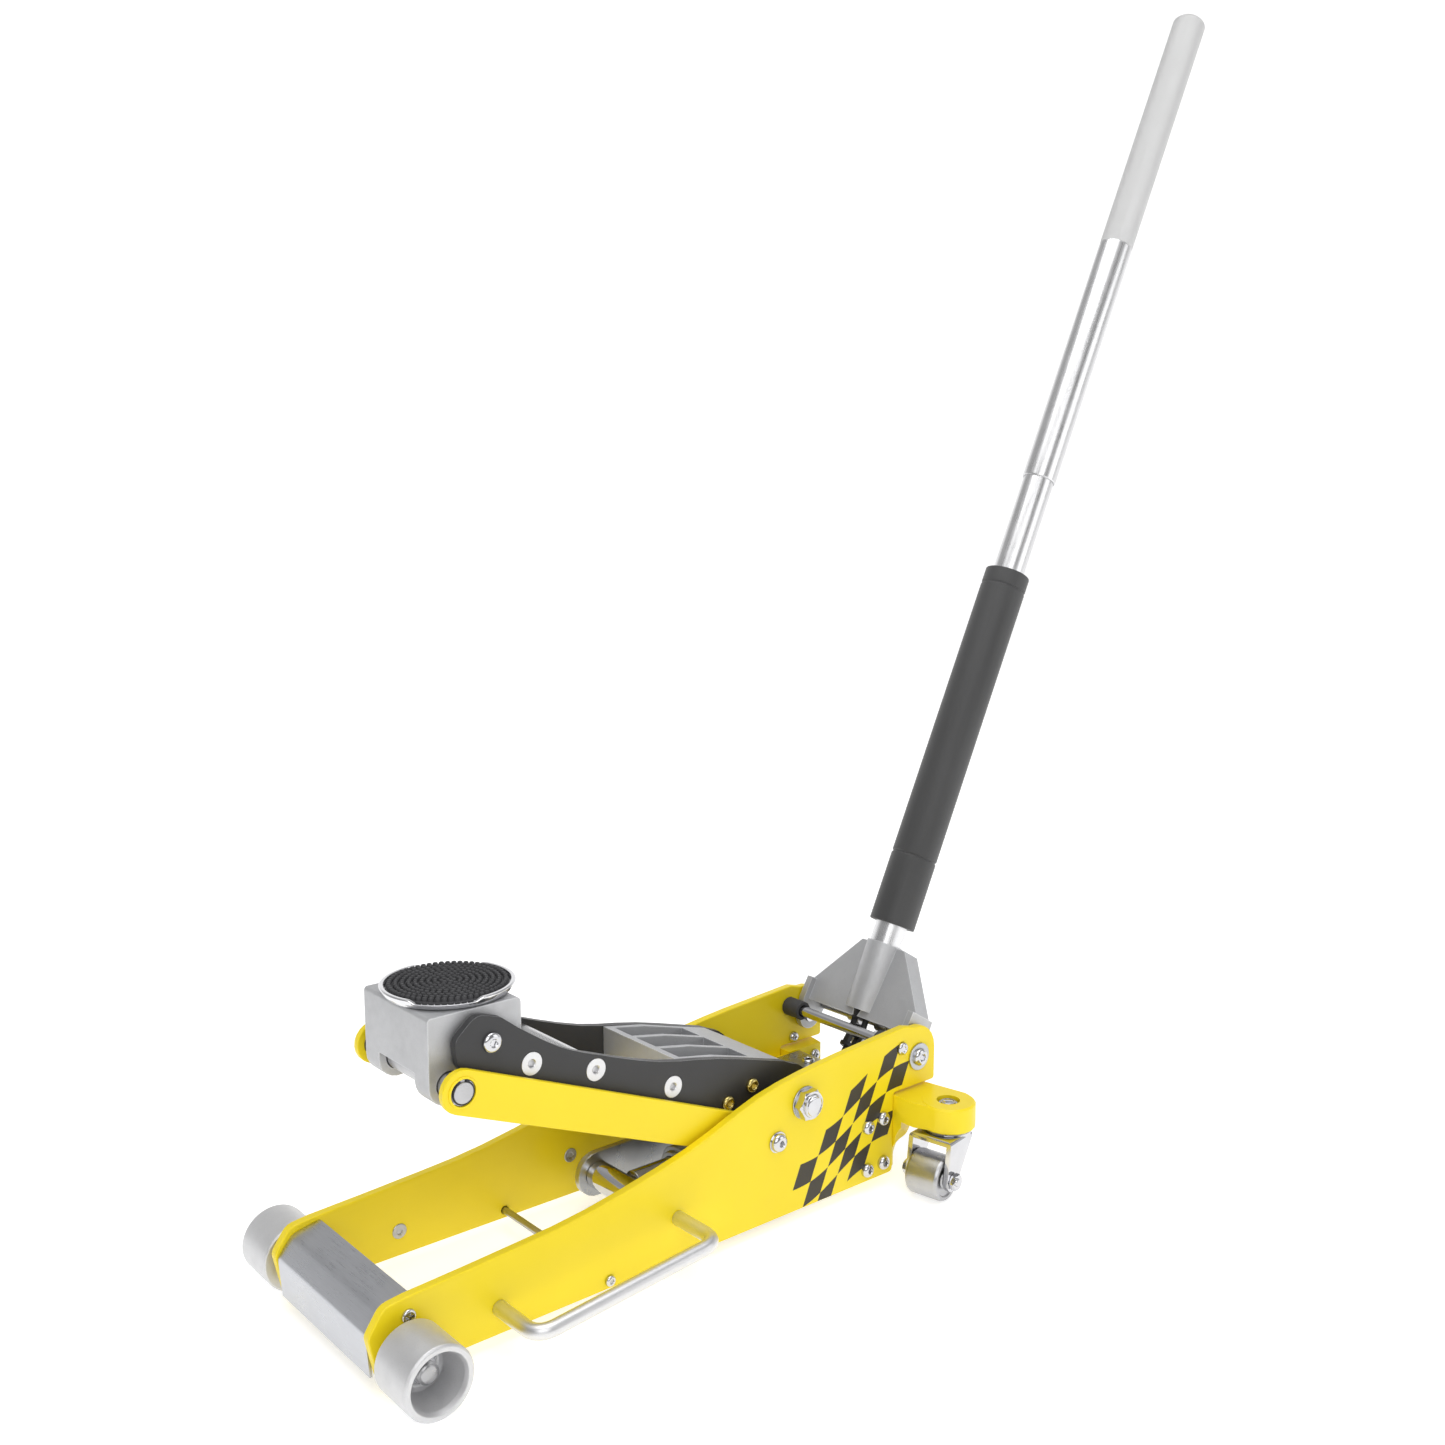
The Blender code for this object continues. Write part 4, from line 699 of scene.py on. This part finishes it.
def add_carry_handles():
    """A bar bent twice, from one foot on the plate out and along to the other."""
    for name, side in SIDES.items():
        node = "carry_handle_" + name
        reach = max(abs(corner.y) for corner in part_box(node)) - CARRY_R
        (x0, z0), (x1, z1) = (jack(*foot) for foot in CARRY_FEET)
        length = math.hypot(x1 - x0, z1 - z0)
        corners = [(0, FACE), (0, reach, CARRY_BEND), (length, reach, CARRY_BEND), (length, FACE)]
        path = [(x0 + (x1 - x0) * a / length, side * y, z0 + (z1 - z0) * a / length)
                for a, y in filleted(corners, 10)]
        piece(node + "_detailed", swept(path, CARRY_R, 28), "satin_aluminium", "frame", stands_for=[node])


def add_pivots():
    for name, side in SIDES.items():
        link = merged([
            washer(0.0066, 0.0092, 0.0009),
            (button_head(0.0080, 0.0050, 0.0024), lifted(0.0009)),
            rod(LINK_BOLT_R, -0.0180, 0),
        ])
        place = outward(side, LINK.x, LINK.z, FACE)
        piece(f"link_bolt_{name}", link, "chrome", "frame", place, ["link_pivot_bolt_" + name])
        head = button_head(0.0080, 0.0042, 0.0030), lifted(0.0016)
        place = outward(side, SOCKET.x, SOCKET.z, FACE)
        bolt = merged([head, rod(SOCKET_BOLT_R, -0.0177, 0)])
        piece(f"socket_bolt_{name}", bolt, "chrome", "frame", place, ["socket_pivot_bolt_" + name])
        piece(f"socket_washer_{name}", washer(0.0060, 0.0125, 0.0016), "zinc_plate", "frame", place)
    place = outward(-1, LIFT.x, LIFT.z, FACE)
    piece("lift_washer", washer(0.0098, 0.0142, 0.0012), "zinc_plate", "frame", place)
    lock = merged([(nut(LIFT_FLATS, 0.0085, LIFT_SHAFT_R + GAP, 0.0018), lifted(0.0012))])
    piece("lift_nut", lock, "chrome", "frame", place, ["lift_pivot_nut"])
    tip = -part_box("lift_pivot_shaft")[0].y
    flat = LIFT_FLATS / 2
    shaft = merged([
        (bolt_end(LIFT_SHAFT_R, -0.0010, tip - FACE), place),
        (rod(LIFT_SHAFT_R, -FACE, FACE), outward(1, LIFT.x, LIFT.z, 0)),
        (lathe([(0, 0), (flat, 0, hexagonal, LIFT_CORNER_R), (flat, 0.0008, hexagonal),
                (flat, 0.0082, hexagonal), (flat, 0.0090, hexagonal, LIFT_CORNER_R), (0.0085, 0.0092),
                (0.0080, 0.0088), (0, 0.0088)]), outward(1, LIFT.x, LIFT.z, FACE)),
    ])
    piece("lift_bolt", shaft, "chrome", "frame", stands_for=["lift_pivot_shaft"])


# ---- wheels
AXLE_R, AXLE_COLLAR_R = 0.0078, 0.0118
AXLE_THREAD = 0.0980  # where the axle's thread starts, from the middle
FRONT_BORE_R, HUB_HEIGHT = 0.00835, 0.0160
CASTER_HALF = 0.0160  # half the width of a caster wheel
CASTER_BORE_R, CASTER_PIN_R = 0.0044, 0.0039
FORK_REACH = CASTER_HALF + 0.0055 + GAP  # outer face of a fork's leg, from the wheel's middle
SWIVEL_R = 0.0058
SWIVEL_END = 0.0072  # length of the swivel bolt's thread


def front_wheel_profile(width, radius):
    """From the hub's inner end, over the tread, into the deep dish of the outer face."""
    return filleted([
        (FRONT_BORE_R, 0), (radius - 0.0012, 0, 0.0004), (radius, 0.0014, 0.0010),
        (radius, width - 0.0018, 0.0015), (radius - 0.0016, width, 0.0012), (0.0222, width, 0.0012),
        (0.0206, width - 0.0040, 0.0030), (0.0166, 0.0180, 0.0030), (0.0138, 0.0150, 0.0020),
        (0.0108, HUB_HEIGHT, 0.0010), (FRONT_BORE_R, HUB_HEIGHT),
    ], 4)


def add_wheels():
    for name, side in SIDES.items():
        low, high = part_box("front_wheel_" + name)
        profile = front_wheel_profile(high.y - low.y, (high.z - low.z) / 2)
        place = outward(side, AXLE.x, AXLE.z, min(abs(low.y), abs(high.y)))
        piece(f"front_wheel_{name}_detailed", lathe(profile, "front_wheel", 96, True), "cast_wheel",
              "front_wheel_" + name, place, ["front_wheel_" + name])
        nut_in = min(abs(corner.y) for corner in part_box("axle_nut_" + name))
        seat = outward(side, AXLE.x, AXLE.z, nut_in - GAP)
        piece("axle_washer_" + name, washer(0.0082, 0.0112, 0.0011), "zinc_plate", "frame", seat)
        lock = merged([(nut(0.0168, 0.0050, AXLE_R + GAP, 0.0014), lifted(0.0011))])
        piece("axle_nut_" + name + "_detailed", lock, "chrome", "frame", seat, ["axle_nut_" + name])
    add_axle()
    for name, side in SIDES.items():
        add_caster(name, side)


def add_axle():
    """A shaft with a spacing collar between each plate and its wheel, and a thread at each end."""
    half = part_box("front_axle")[1].y
    hub = min(abs(corner.y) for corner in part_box("front_wheel_left")) - 0.0004
    collar_in, shaft_end = PLATE_OUT + 0.0004, AXLE_THREAD + 0.0005
    parts = []
    for side in SIDES.values():
        profile = filleted([
            (0, 0), (AXLE_R, 0), (AXLE_R, collar_in), (AXLE_COLLAR_R, collar_in, 0.0005),
            (AXLE_COLLAR_R, hub, 0.0005), (AXLE_R, hub), (AXLE_R, shaft_end), (0, shaft_end),
        ])
        parts.append((lathe(profile), outward(side, AXLE.x, AXLE.z, 0)))
    for side in SIDES.values():
        parts.append((bolt_end(AXLE_R, AXLE_THREAD, half - 0.0002), outward(side, AXLE.x, AXLE.z, 0)))
    piece("front_axle_detailed", merged(parts), "steel", "frame", stands_for=["front_axle"])


def caster_wheel_profile(radius):
    """A plain tread, with a shallow groove in each face round the hub."""
    half = CASTER_HALF
    return filleted([
        (CASTER_BORE_R, 0.0002 - half), (0.0078, 0.0002 - half, 0.0004), (0.0090, 0.0018 - half, 0.0008),
        (0.0150, 0.0018 - half, 0.0008), (0.0162, -half, 0.0006), (radius - 0.0012, -half, 0.0008),
        (radius, 0.0024 - half, 0.0016), (radius, half - 0.0024, 0.0016), (radius - 0.0012, half, 0.0008),
        (0.0162, half, 0.0006), (0.0150, half - 0.0018, 0.0008), (0.0090, half - 0.0018, 0.0008),
        (0.0078, half - 0.0002, 0.0004), (CASTER_BORE_R, half - 0.0002),
    ], 4)


def add_caster(name, side):
    fork, wheel = "caster_" + name, "caster_wheel_" + name
    detailed("caster_fork_" + name, "chrome", 0.0009, 3)
    low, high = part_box(wheel)
    turn = joint_axis("caster_roll_" + name).to_track_quat("Z", "Y").to_matrix().to_4x4()
    place = Matrix.Translation(centre(wheel)) @ turn
    tread = lathe(caster_wheel_profile((high.z - low.z) / 2), "caster_wheel", 96, True)
    piece(wheel + "_detailed", tread, "steel", wheel, place, [wheel])

    parts = [rod(CASTER_PIN_R, -FORK_REACH, FORK_REACH)]
    for flip, thread in ((0, 0.0070), (math.pi, 0.0056)):
        end = Matrix.Rotation(flip, 4, "X") @ lifted(FORK_REACH)
        parts.append((nut(0.0130, 0.0050, 0.0036), end))
        parts.append((bolt_end(0.0038, 0, thread), end))
    place = place @ Matrix.Rotation(0 if side < 0 else math.pi, 4, "X")
    axle = "caster_axle_" + name
    piece(axle + "_detailed", merged(parts), "chrome", fork, place, [axle])

    swivel = centre("caster_swivel_bolt_" + name)
    low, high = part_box("caster_swivel_bolt_" + name)
    top = high.z - SWIVEL_END
    bolt = merged([
        rod(SWIVEL_R, low.z, top),
        (washer(0.0062, 0.0100, 0.0009), lifted(top - 0.0001)),
        (nut(0.0158, 0.0052, 0.0060, 0.0009), lifted(top + 0.0008)),
        bolt_end(SWIVEL_R, top, high.z),
    ])
    stand = Matrix.Translation((swivel.x, swivel.y, 0))
    piece("swivel_bolt_" + name, bolt, "chrome", "frame", stand, ["caster_swivel_bolt_" + name])
    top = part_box("caster_fork_" + name)[1].z
    race = lathe(filleted([
        (0.0172, top - 0.0012), (0.0222, top - 0.0012, 0.0003), (0.0228, top - 0.0004, 0.0003),
        (0.0218, top, 0.0003), (0.0172, top),
    ]), loop=True)
    piece("swivel_race_" + name, race, "steel", fork, stand)


# ---- lift arm and saddle
ARM_SCREWS = [(0.1248, 0.1967), (0.1826, 0.1772), (0.2578, 0.1436)]
ARM_BOLTS = [(0.3149, 0.1146), (0.3414, 0.1232)]
SCREW_R, SCREW_KEY = 0.0090, 0.0027
SADDLE_BOLT_R = 0.0058
PIN_R, PIN_END_R = 0.0095, 0.0079


def screw_holes(side):
    """Tools that drill the countersunk holes of an arm plate."""
    wide = SCREW_R + 0.0002
    for x, z in ARM_SCREWS:
        hole = lathe([(0, -0.0045), (SCREW_R * 0.66, -0.0045), (wide, -0.0002), (wide, 0.002), (0, 0.002)])
        yield hole, outward(side, *jack(x, z), ARM_OUT)


def add_arm():
    for name, side in SIDES.items():
        detailed("arm_plate_" + name, "black_coat", 0.0009, 3, merged(screw_holes(side)))
        for i, (x, z) in enumerate(ARM_SCREWS):
            screw, place = flush_screw(SCREW_R, SCREW_KEY), outward(side, *jack(x, z), ARM_OUT)
            piece(f"arm_screw_{name}_{i}", screw, "satin_aluminium", "lift_arm", place)
        for i, (x, z) in enumerate(ARM_BOLTS):
            head, place = button_head(0.0062, 0.0038, 0.0026), outward(side, *jack(x, z), ARM_OUT)
            piece(f"arm_bolt_{name}_{i}", head, "gold_zinc", "lift_arm", place)
        place = outward(side, SADDLE_BOLT.x, SADDLE_BOLT.z, ARM_OUT + 0.0002)
        piece("saddle_bolt_" + name, button_head(0.0078, 0.0034, 0.0027), "chrome", "lift_arm", place)
        detailed("stabiliser_link_" + name, "yellow_coat", 0.0010, 3)
        boss = filleted([(0.0100, 0), (0.0120, 0, 0.0003), (0.0115, 0.0010, 0.0005), (0.0102, 0.0010)])
        place = outward(side, LOWER_PIN.x, LOWER_PIN.z, LINK_OUT)
        piece("pin_boss_" + name, lathe(boss, loop=True), "yellow_coat", "stabiliser", place)
        clip, clear = clip_ring(0.0080, 0.0090, 0.0008), Matrix.Translation((0, side * 0.0002, 0))
        piece("pin_clip_" + name, clip, "black_steel", "saddle_head", clear @ place)
    place = outward(1, SADDLE_BOLT.x, SADDLE_BOLT.z, 0)
    shank = rod(SADDLE_BOLT_R, -ARM_OUT, ARM_OUT)
    piece("saddle_bolt_shank", shank, "chrome", "lift_arm", place, ["saddle_cross_bolt"])
    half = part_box("saddle_lower_pin")[1].y
    pin = lathe(filleted([
        (0, -half), (PIN_END_R, -half, 0.0006), (PIN_END_R, -LINK_OUT), (PIN_R, -LINK_OUT),
        (PIN_R, LINK_OUT), (PIN_END_R, LINK_OUT), (PIN_END_R, half, 0.0006), (0, half),
    ]))
    place = outward(1, LOWER_PIN.x, LOWER_PIN.z, 0)
    piece("saddle_pin", pin, "steel", "saddle_head", place, ["saddle_lower_pin"])
    detailed("arm_casting", "cast_aluminium", 0.0010, 3)
    detailed("arm_lever", "steel", 0.0006)
    detailed("arm_spacer_front", "bare_aluminium", 0)
    detailed("arm_spacer_middle", "bare_aluminium", 0)
    detailed("saddle_bracket", "cast_aluminium", 0.0014, 3)
    add_saddle()


STUD_PITCH, STUD_SIDES = 0.0048, 12
NOTCH_AT, NOTCH_HALF, NOTCH_RAMP = math.radians(58), math.radians(29), math.radians(4)
NOTCH_DEPTH, NOTCH_LEFT = 0.0021, 0.30  # the rim keeps this share of its height in a notch
PAD_R, PAD_BASE = 0.0464, 0.2507
HUB_R = 0.0118


def add_saddle():
    """A dished cup whose rim stands up in two long lips, with a studded rubber pad."""
    low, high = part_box("saddle")
    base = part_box("saddle_bracket")[1].z + 0.0005
    lip, outer = high.z, (high.x - low.x) / 2 - 0.0001
    notch = lip - NOTCH_DEPTH
    cup = lathe(filleted([
        (0, low.z), (HUB_R, low.z, 0.0006), (HUB_R, base), (0.0470, base, 0.0012),
        (0.0492, notch - 0.0020, 0.0020), (outer, lip - 0.0008, 0.0008), (outer - 0.0009, lip, 0.0008),
        (PAD_R + 0.0010, lip, 0.0004), (PAD_R + 0.0003, notch - 0.0004, 0.0010), (PAD_R, PAD_BASE),
        (0, PAD_BASE),
    ], 4), "cup", 144)
    floor = notch - 0.0012
    for v in cup.vertices:
        if v.co.z < floor or math.hypot(v.co.x, v.co.y) < PAD_R:
            continue
        turn = (math.atan2(v.co.y, v.co.x) - NOTCH_AT + math.pi / 2) % math.pi - math.pi / 2
        share = min(1, max(0, (abs(turn) - NOTCH_HALF + NOTCH_RAMP) / (2 * NOTCH_RAMP)))
        share = share * share * (3 - 2 * share)
        v.co.z = floor + (v.co.z - floor) * (NOTCH_LEFT + (1 - NOTCH_LEFT) * share)
    stand = Matrix.Translation((SADDLE.x, 0, 0))
    piece("saddle_cup", cup, "bright_chrome", "saddle_disc", stand, ["saddle"])

    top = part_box("saddle_pad")[1].z
    face = top - 0.0030
    side, under = PAD_R - 0.0004, PAD_BASE + 0.0002
    parts = [lathe(filleted([(0, under), (side, under), (side, face, 0.0008), (0, face)]))]
    long_way = Matrix.Diagonal((0.95, 1.15, 1, 1))
    for ring in range(int((PAD_R - 0.002) / STUD_PITCH) + 1):
        radius = ring * STUD_PITCH
        count = max(1, round(2 * math.pi * radius / STUD_PITCH))
        for i in range(count):
            turn = 2 * math.pi * (i + 0.5 * (ring % 2)) / count
            stud = lathe([(0.0021, face - 0.0002), (0.0019, face + 0.0012), (0.0016, top - 0.0004),
                          (0.0010, top), (0, top + 0.00005)], "stud", STUD_SIDES)
            out = Matrix.Translation((radius, 0, 0)) @ long_way
            parts.append((stud, Matrix.Rotation(turn, 4, "Z") @ out))
    piece("saddle_pad_studded", merged(parts), "rubber", "saddle_disc", stand, ["saddle_pad"], 60)


# ---- hydraulics
BLOCK_PLUGS = [(0.4420, -0.0330), (0.4420, 0.0330), (0.4700, 0), (0.4900, -0.0300), (0.4900, 0.0300)]
RAM_R, TUBE_BORE_R = 0.0109, 0.0116
RETURN_WIRE_R, PUMP_WIRE_R = 0.00075, 0.0007
PLUNGER_R, PLUNGER_CAP_R, PUMP_COIL_R = 0.0063, 0.0088, 0.0076


def helix(start, end, radius, turns, at, steps=20):
    """Points of a coil. At gives a point from the way along its axis and two ways across."""
    points = []
    for i in range(turns * steps + 1):
        t = i / (turns * steps)
        angle = 2 * math.pi * turns * t
        points.append(at(start + (end - start) * t, radius * math.cos(angle), radius * math.sin(angle)))
    return points


def add_hydraulics():
    detailed("power_unit", "zinc_plate", 0.0010, 2)
    detailed("crosshead", "chrome", 0.0006, 2)
    detailed("release_valve", "black_steel", 0.0003)
    for name in SIDES:
        detailed("pull_link_" + name, "zinc_plate", 0.0007)
    low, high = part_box("reservoir_tube")
    height, radius = (low.z + high.z) / 2, (high.z - low.z) / 2
    along = lifted(height) @ Matrix.Rotation(math.pi / 2, 4, "Y")
    skin, groove, front, rear = radius - 0.0002, radius - 0.0010, low.x, high.x - 0.0002
    tube = filleted([
        (TUBE_BORE_R, front), (radius - 0.0044, front, 0.0008), (radius - 0.0036, front + 0.0042),
        (skin, front + 0.0042, 0.0010), (skin, front + 0.0180, 0.0003), (groove, front + 0.0184),
        (groove, front + 0.0196), (skin, front + 0.0200), (skin, rear), (TUBE_BORE_R, rear),
    ])
    tube = lathe(tube, "tube", loop=True)
    piece("reservoir_detailed", tube, "zinc_plate", "frame", along, ["reservoir_tube"])
    low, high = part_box("ram")
    ram = lathe(filleted([(0, low.x), (RAM_R, low.x, 0.0006), (RAM_R, high.x, 0.0006), (0, high.x)]))
    piece("ram_detailed", ram, "chrome", "ram_group", along, ["ram"])
    add_springs()
    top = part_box("power_unit")[1].z
    for i, (x, y) in enumerate(BLOCK_PLUGS):
        plug = button_head(0.0062, 0.0034, 0.0030)
        piece(f"block_plug_{i}", plug, "chrome", "frame", Matrix.Translation((AXLE.x + x, y, top)))


def add_springs():
    """Return springs between the crosshead and the block, and a spring round each pump plunger."""
    for name in SIDES:
        node = "return_spring_" + name
        low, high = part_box(node)
        y, z = (low.y + high.y) / 2, (low.z + high.z) / 2
        radius = (high.z - low.z) / 2 - 0.0008
        coil = helix(low.x + 0.0045, high.x - 0.0045, radius, 30, lambda x, a, b: (x, y + a, z + b), 14)
        front = [(low.x + 0.0004, y, z), (low.x + 0.0030, y, z), (low.x + 0.0042, y + radius * 0.7, z)]
        rear = [(high.x - 0.0042, y + radius * 0.7, z), (high.x - 0.0030, y, z), (high.x - 0.0004, y, z)]
        wire = swept(front + coil + rear, RETURN_WIRE_R, 8)
        spring = piece(node + "_detailed", wire, "steel", "frame", stands_for=[node])
        spring.parent = None
        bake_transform(spring, "ram_group", "frame", start=(low.x, y, z), end=(high.x, y, z))

        pump = "pump_" + name
        low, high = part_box("pump_plunger_" + name)
        x, y = (low.x + high.x) / 2, (low.y + high.y) / 2
        cap = high.z - 0.0041
        plunger = lathe(filleted([
            (0, low.z), (PLUNGER_R, low.z, 0.0005), (PLUNGER_R, cap), (PLUNGER_CAP_R, cap, 0.0004),
            (PLUNGER_CAP_R, high.z - 0.0008, 0.0006), (0.0078, high.z, 0.0006), (0, high.z),
        ]))
        place = Matrix.Translation((x, y, 0))
        piece("plunger_" + name, plunger, "chrome", pump, place, ["pump_plunger_" + name])
        foot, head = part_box("power_unit")[1].z - 0.0016, cap - 0.0005
        coil = helix(foot, head, PUMP_COIL_R, 6, lambda h, a, b: (x + a, y + b, h))
        spring = piece("pump_spring_" + name, swept(coil, PUMP_WIRE_R, 8), "steel", "frame")
        spring.parent = None
        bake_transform(spring, "frame", pump, start=(x, y, foot), end=(x, y, head))


# ---- handle
FOAM_SEAMS = (0.1757, 0.4568)  # rings pressed in the foam, from the socket's pivot
SEAM_HALF, SEAM_DEPTH = 0.0016, 0.0012
GRIP_START = 0.8377
TUBE_IN_R, GRIP_HOLE_R, GRIP_IN_R = 0.0130, 0.0062, 0.0140


def up_the_handle(node):
    """Where a node starts and ends, measured up the handle from the socket's pivot, and its radius."""
    back = HANDLE.inverted()
    points = [back @ v.co for v in frame["nodes"][node].data.vertices]
    heights = [point.z for point in points]
    return min(heights), max(heights), max(math.hypot(point.x, point.y) for point in points)


def add_handle():
    detailed("handle_socket", "cast_aluminium", 0.0012, 3)
    detailed("pump_roller", "steel", 0.0003)
    detailed("universal_yoke", "black_steel", 0.0004)
    start, end, radius = up_the_handle("handle_lower_tube")
    slip = radius + GAP
    tube = filleted([(TUBE_IN_R, start), (radius, start, 0.0005), (radius, end, 0.0005), (TUBE_IN_R, end)])
    tube = lathe(tube, "tube", 96, True)
    piece("lower_tube", tube, "bare_aluminium", "handle", HANDLE, ["handle_lower_tube"])
    start, end, radius = up_the_handle("handle_upper_tube")
    tube = filleted([
        (slip, start), (radius - 0.0003, start, 0.0003), (radius, start + 0.0010, 0.0004),
        (radius, GRIP_START - 0.0012, 0.0003), (radius - 0.0004, GRIP_START - 0.0004),
        (radius - 0.0004, GRIP_START), (slip, GRIP_START),
    ])
    tube = lathe(tube, "tube", 96, True)
    piece("upper_tube", tube, "bare_aluminium", "handle", HANDLE, ["handle_upper_tube"])
    grip = filleted([
        (slip, GRIP_START), (radius - 0.0002, GRIP_START, 0.0002), (radius, GRIP_START + 0.0008, 0.0003),
        (radius, end - 0.0040, 0.0030), (radius - 0.0035, end, 0.0030), (0.0075, end, 0.0008),
        (GRIP_HOLE_R, end - 0.0014, 0.0006), (GRIP_HOLE_R, end - 0.0030), (GRIP_IN_R, end - 0.0030),
        (GRIP_IN_R, GRIP_START + 0.0010),
    ])
    piece("upper_grip", lathe(grip, "grip", 96, True), "grip", "handle", HANDLE)
    start, end, outer = up_the_handle("foam_sleeve")
    profile = [(slip, start), (outer, start, 0.0014)]
    for seam in FOAM_SEAMS:
        profile += [(outer, seam - SEAM_HALF, 0.0010), (outer - SEAM_DEPTH, seam, 0.0006),
                    (outer, seam + SEAM_HALF, 0.0010)]
    profile += [(outer, end, 0.0014), (slip, end)]
    sleeve = lathe(filleted(profile, 4), "foam", 96, True)
    made = piece("foam_grip", sleeve, "foam", "handle", HANDLE, ["foam_sleeve"], 50)


# ---- floor and light
FLOOR_HALF, FLOOR_DROP, FLOOR_GLOW = 14, 0.0002, 0.55


def add_stage():
    """A pale floor that glows a little, so that it stays plain under the jack."""
    n = Nodes("floor")
    tone = n.mixed(n.spread(n.noise(3, 4), 0, 1), (0.78, 0.78, 0.78, 1), (0.80, 0.80, 0.80, 1))
    n.finish(tone, 0.7, None, Emission_Color=(1, 1, 1, 1), Emission_Strength=FLOOR_GLOW)
    bm = bmesh.new()
    bmesh.ops.create_grid(bm, x_segments=1, y_segments=1, size=FLOOR_HALF)
    floor = bpy.data.objects.new("floor", finished(bm, "floor"))
    floor.data.materials.append(n.material)
    floor.location.z = -FLOOR_DROP
    bpy.context.scene.collection.objects.link(floor)
    floor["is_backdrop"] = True


def add_light(name, at, aim, size, power):
    data = bpy.data.lights.new(name, "AREA")
    data.shape, data.size, data.size_y, data.energy = "RECTANGLE", size[0], size[1], power
    lamp = bpy.data.objects.new(name, data)
    bpy.context.scene.collection.objects.link(lamp)
    lamp.location = at
    lamp.rotation_euler = (Vector(aim) - Vector(at)).to_track_quat("-Z", "Y").to_euler()


BACKDROP_EDGE = 0.0, 0.6  # where the backdrop starts and is complete, as the cosine from its middle
ROOM = {  # brightness by height, from the horizon to overhead
    "backdrop": ((0.0, 1.12), (0.30, 1.10), (0.42, 0.50), (0.62, 0.40), (0.82, 0.75), (1.0, 0.9)),
    "front": ((0.0, 0.55), (0.15, 0.34), (0.45, 0.28), (0.70, 0.40), (0.85, 0.75), (1.0, 0.9)),
}


def add_world():
    """A white backdrop behind the jack and a darker room in front of it, which metal reflects."""
    world = bpy.data.worlds.new("room")
    bpy.context.scene.world = world
    world.use_nodes = True
    nodes, links = world.node_tree.nodes, world.node_tree.links
    way = nodes.new("ShaderNodeTexCoord").outputs["Generated"]
    split = nodes.new("ShaderNodeSeparateXYZ")
    links.new(way, split.inputs[0])
    facing = nodes.new("ShaderNodeVectorMath")
    facing.operation = "DOT_PRODUCT"
    facing.inputs[1].default_value = (math.sin(CAMERA_YAW), math.cos(CAMERA_YAW), 0)
    links.new(way, facing.inputs[0])
    share = nodes.new("ShaderNodeMapRange")
    links.new(facing.outputs["Value"], share.inputs["Value"])
    share.inputs["From Min"].default_value, share.inputs["From Max"].default_value = BACKDROP_EDGE
    mix = nodes.new("ShaderNodeMix")
    mix.data_type = "RGBA"
    links.new(share.outputs["Result"], mix.inputs[0])
    for index, stops in ((6, ROOM["front"]), (7, ROOM["backdrop"])):
        ramp = nodes.new("ShaderNodeValToRGB")
        links.new(split.outputs["Z"], ramp.inputs["Fac"])
        elements = ramp.color_ramp.elements
        for i, (at, level) in enumerate(stops):
            stop = elements[i] if i < 2 else elements.new(at)
            stop.position = at
            stop.color = (level, level, level, 1)
        links.new(ramp.outputs["Color"], mix.inputs[index])
    links.new(mix.outputs[2], nodes["Background"].inputs["Color"])


def add_lights():
    add_light("key", (-1.9, -2.3, 1.9), (0, 0, 0.1), (2.6, 2.0), 30)
    add_light("fill", (1.5, -2.2, 1.0), (0.1, 0, 0.2), (1.4, 1.6), 9)
    add_light("top", (-0.3, -0.2, 2.3), (0, 0, 0), (1.8, 1.4), 15)


def write_sizes():
    boxes = {"cad": cad_box, "visual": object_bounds()}
    {name: [list(corner) for corner in box] for name, box in boxes.items()}


add_finishes()
add_camera()
add_frame()
add_wheels()
add_arm()
add_hydraulics()
add_handle()
add_stage()
add_world()
add_lights()
bpy.context.scene.view_settings.view_transform = "Standard"
write_sizes()
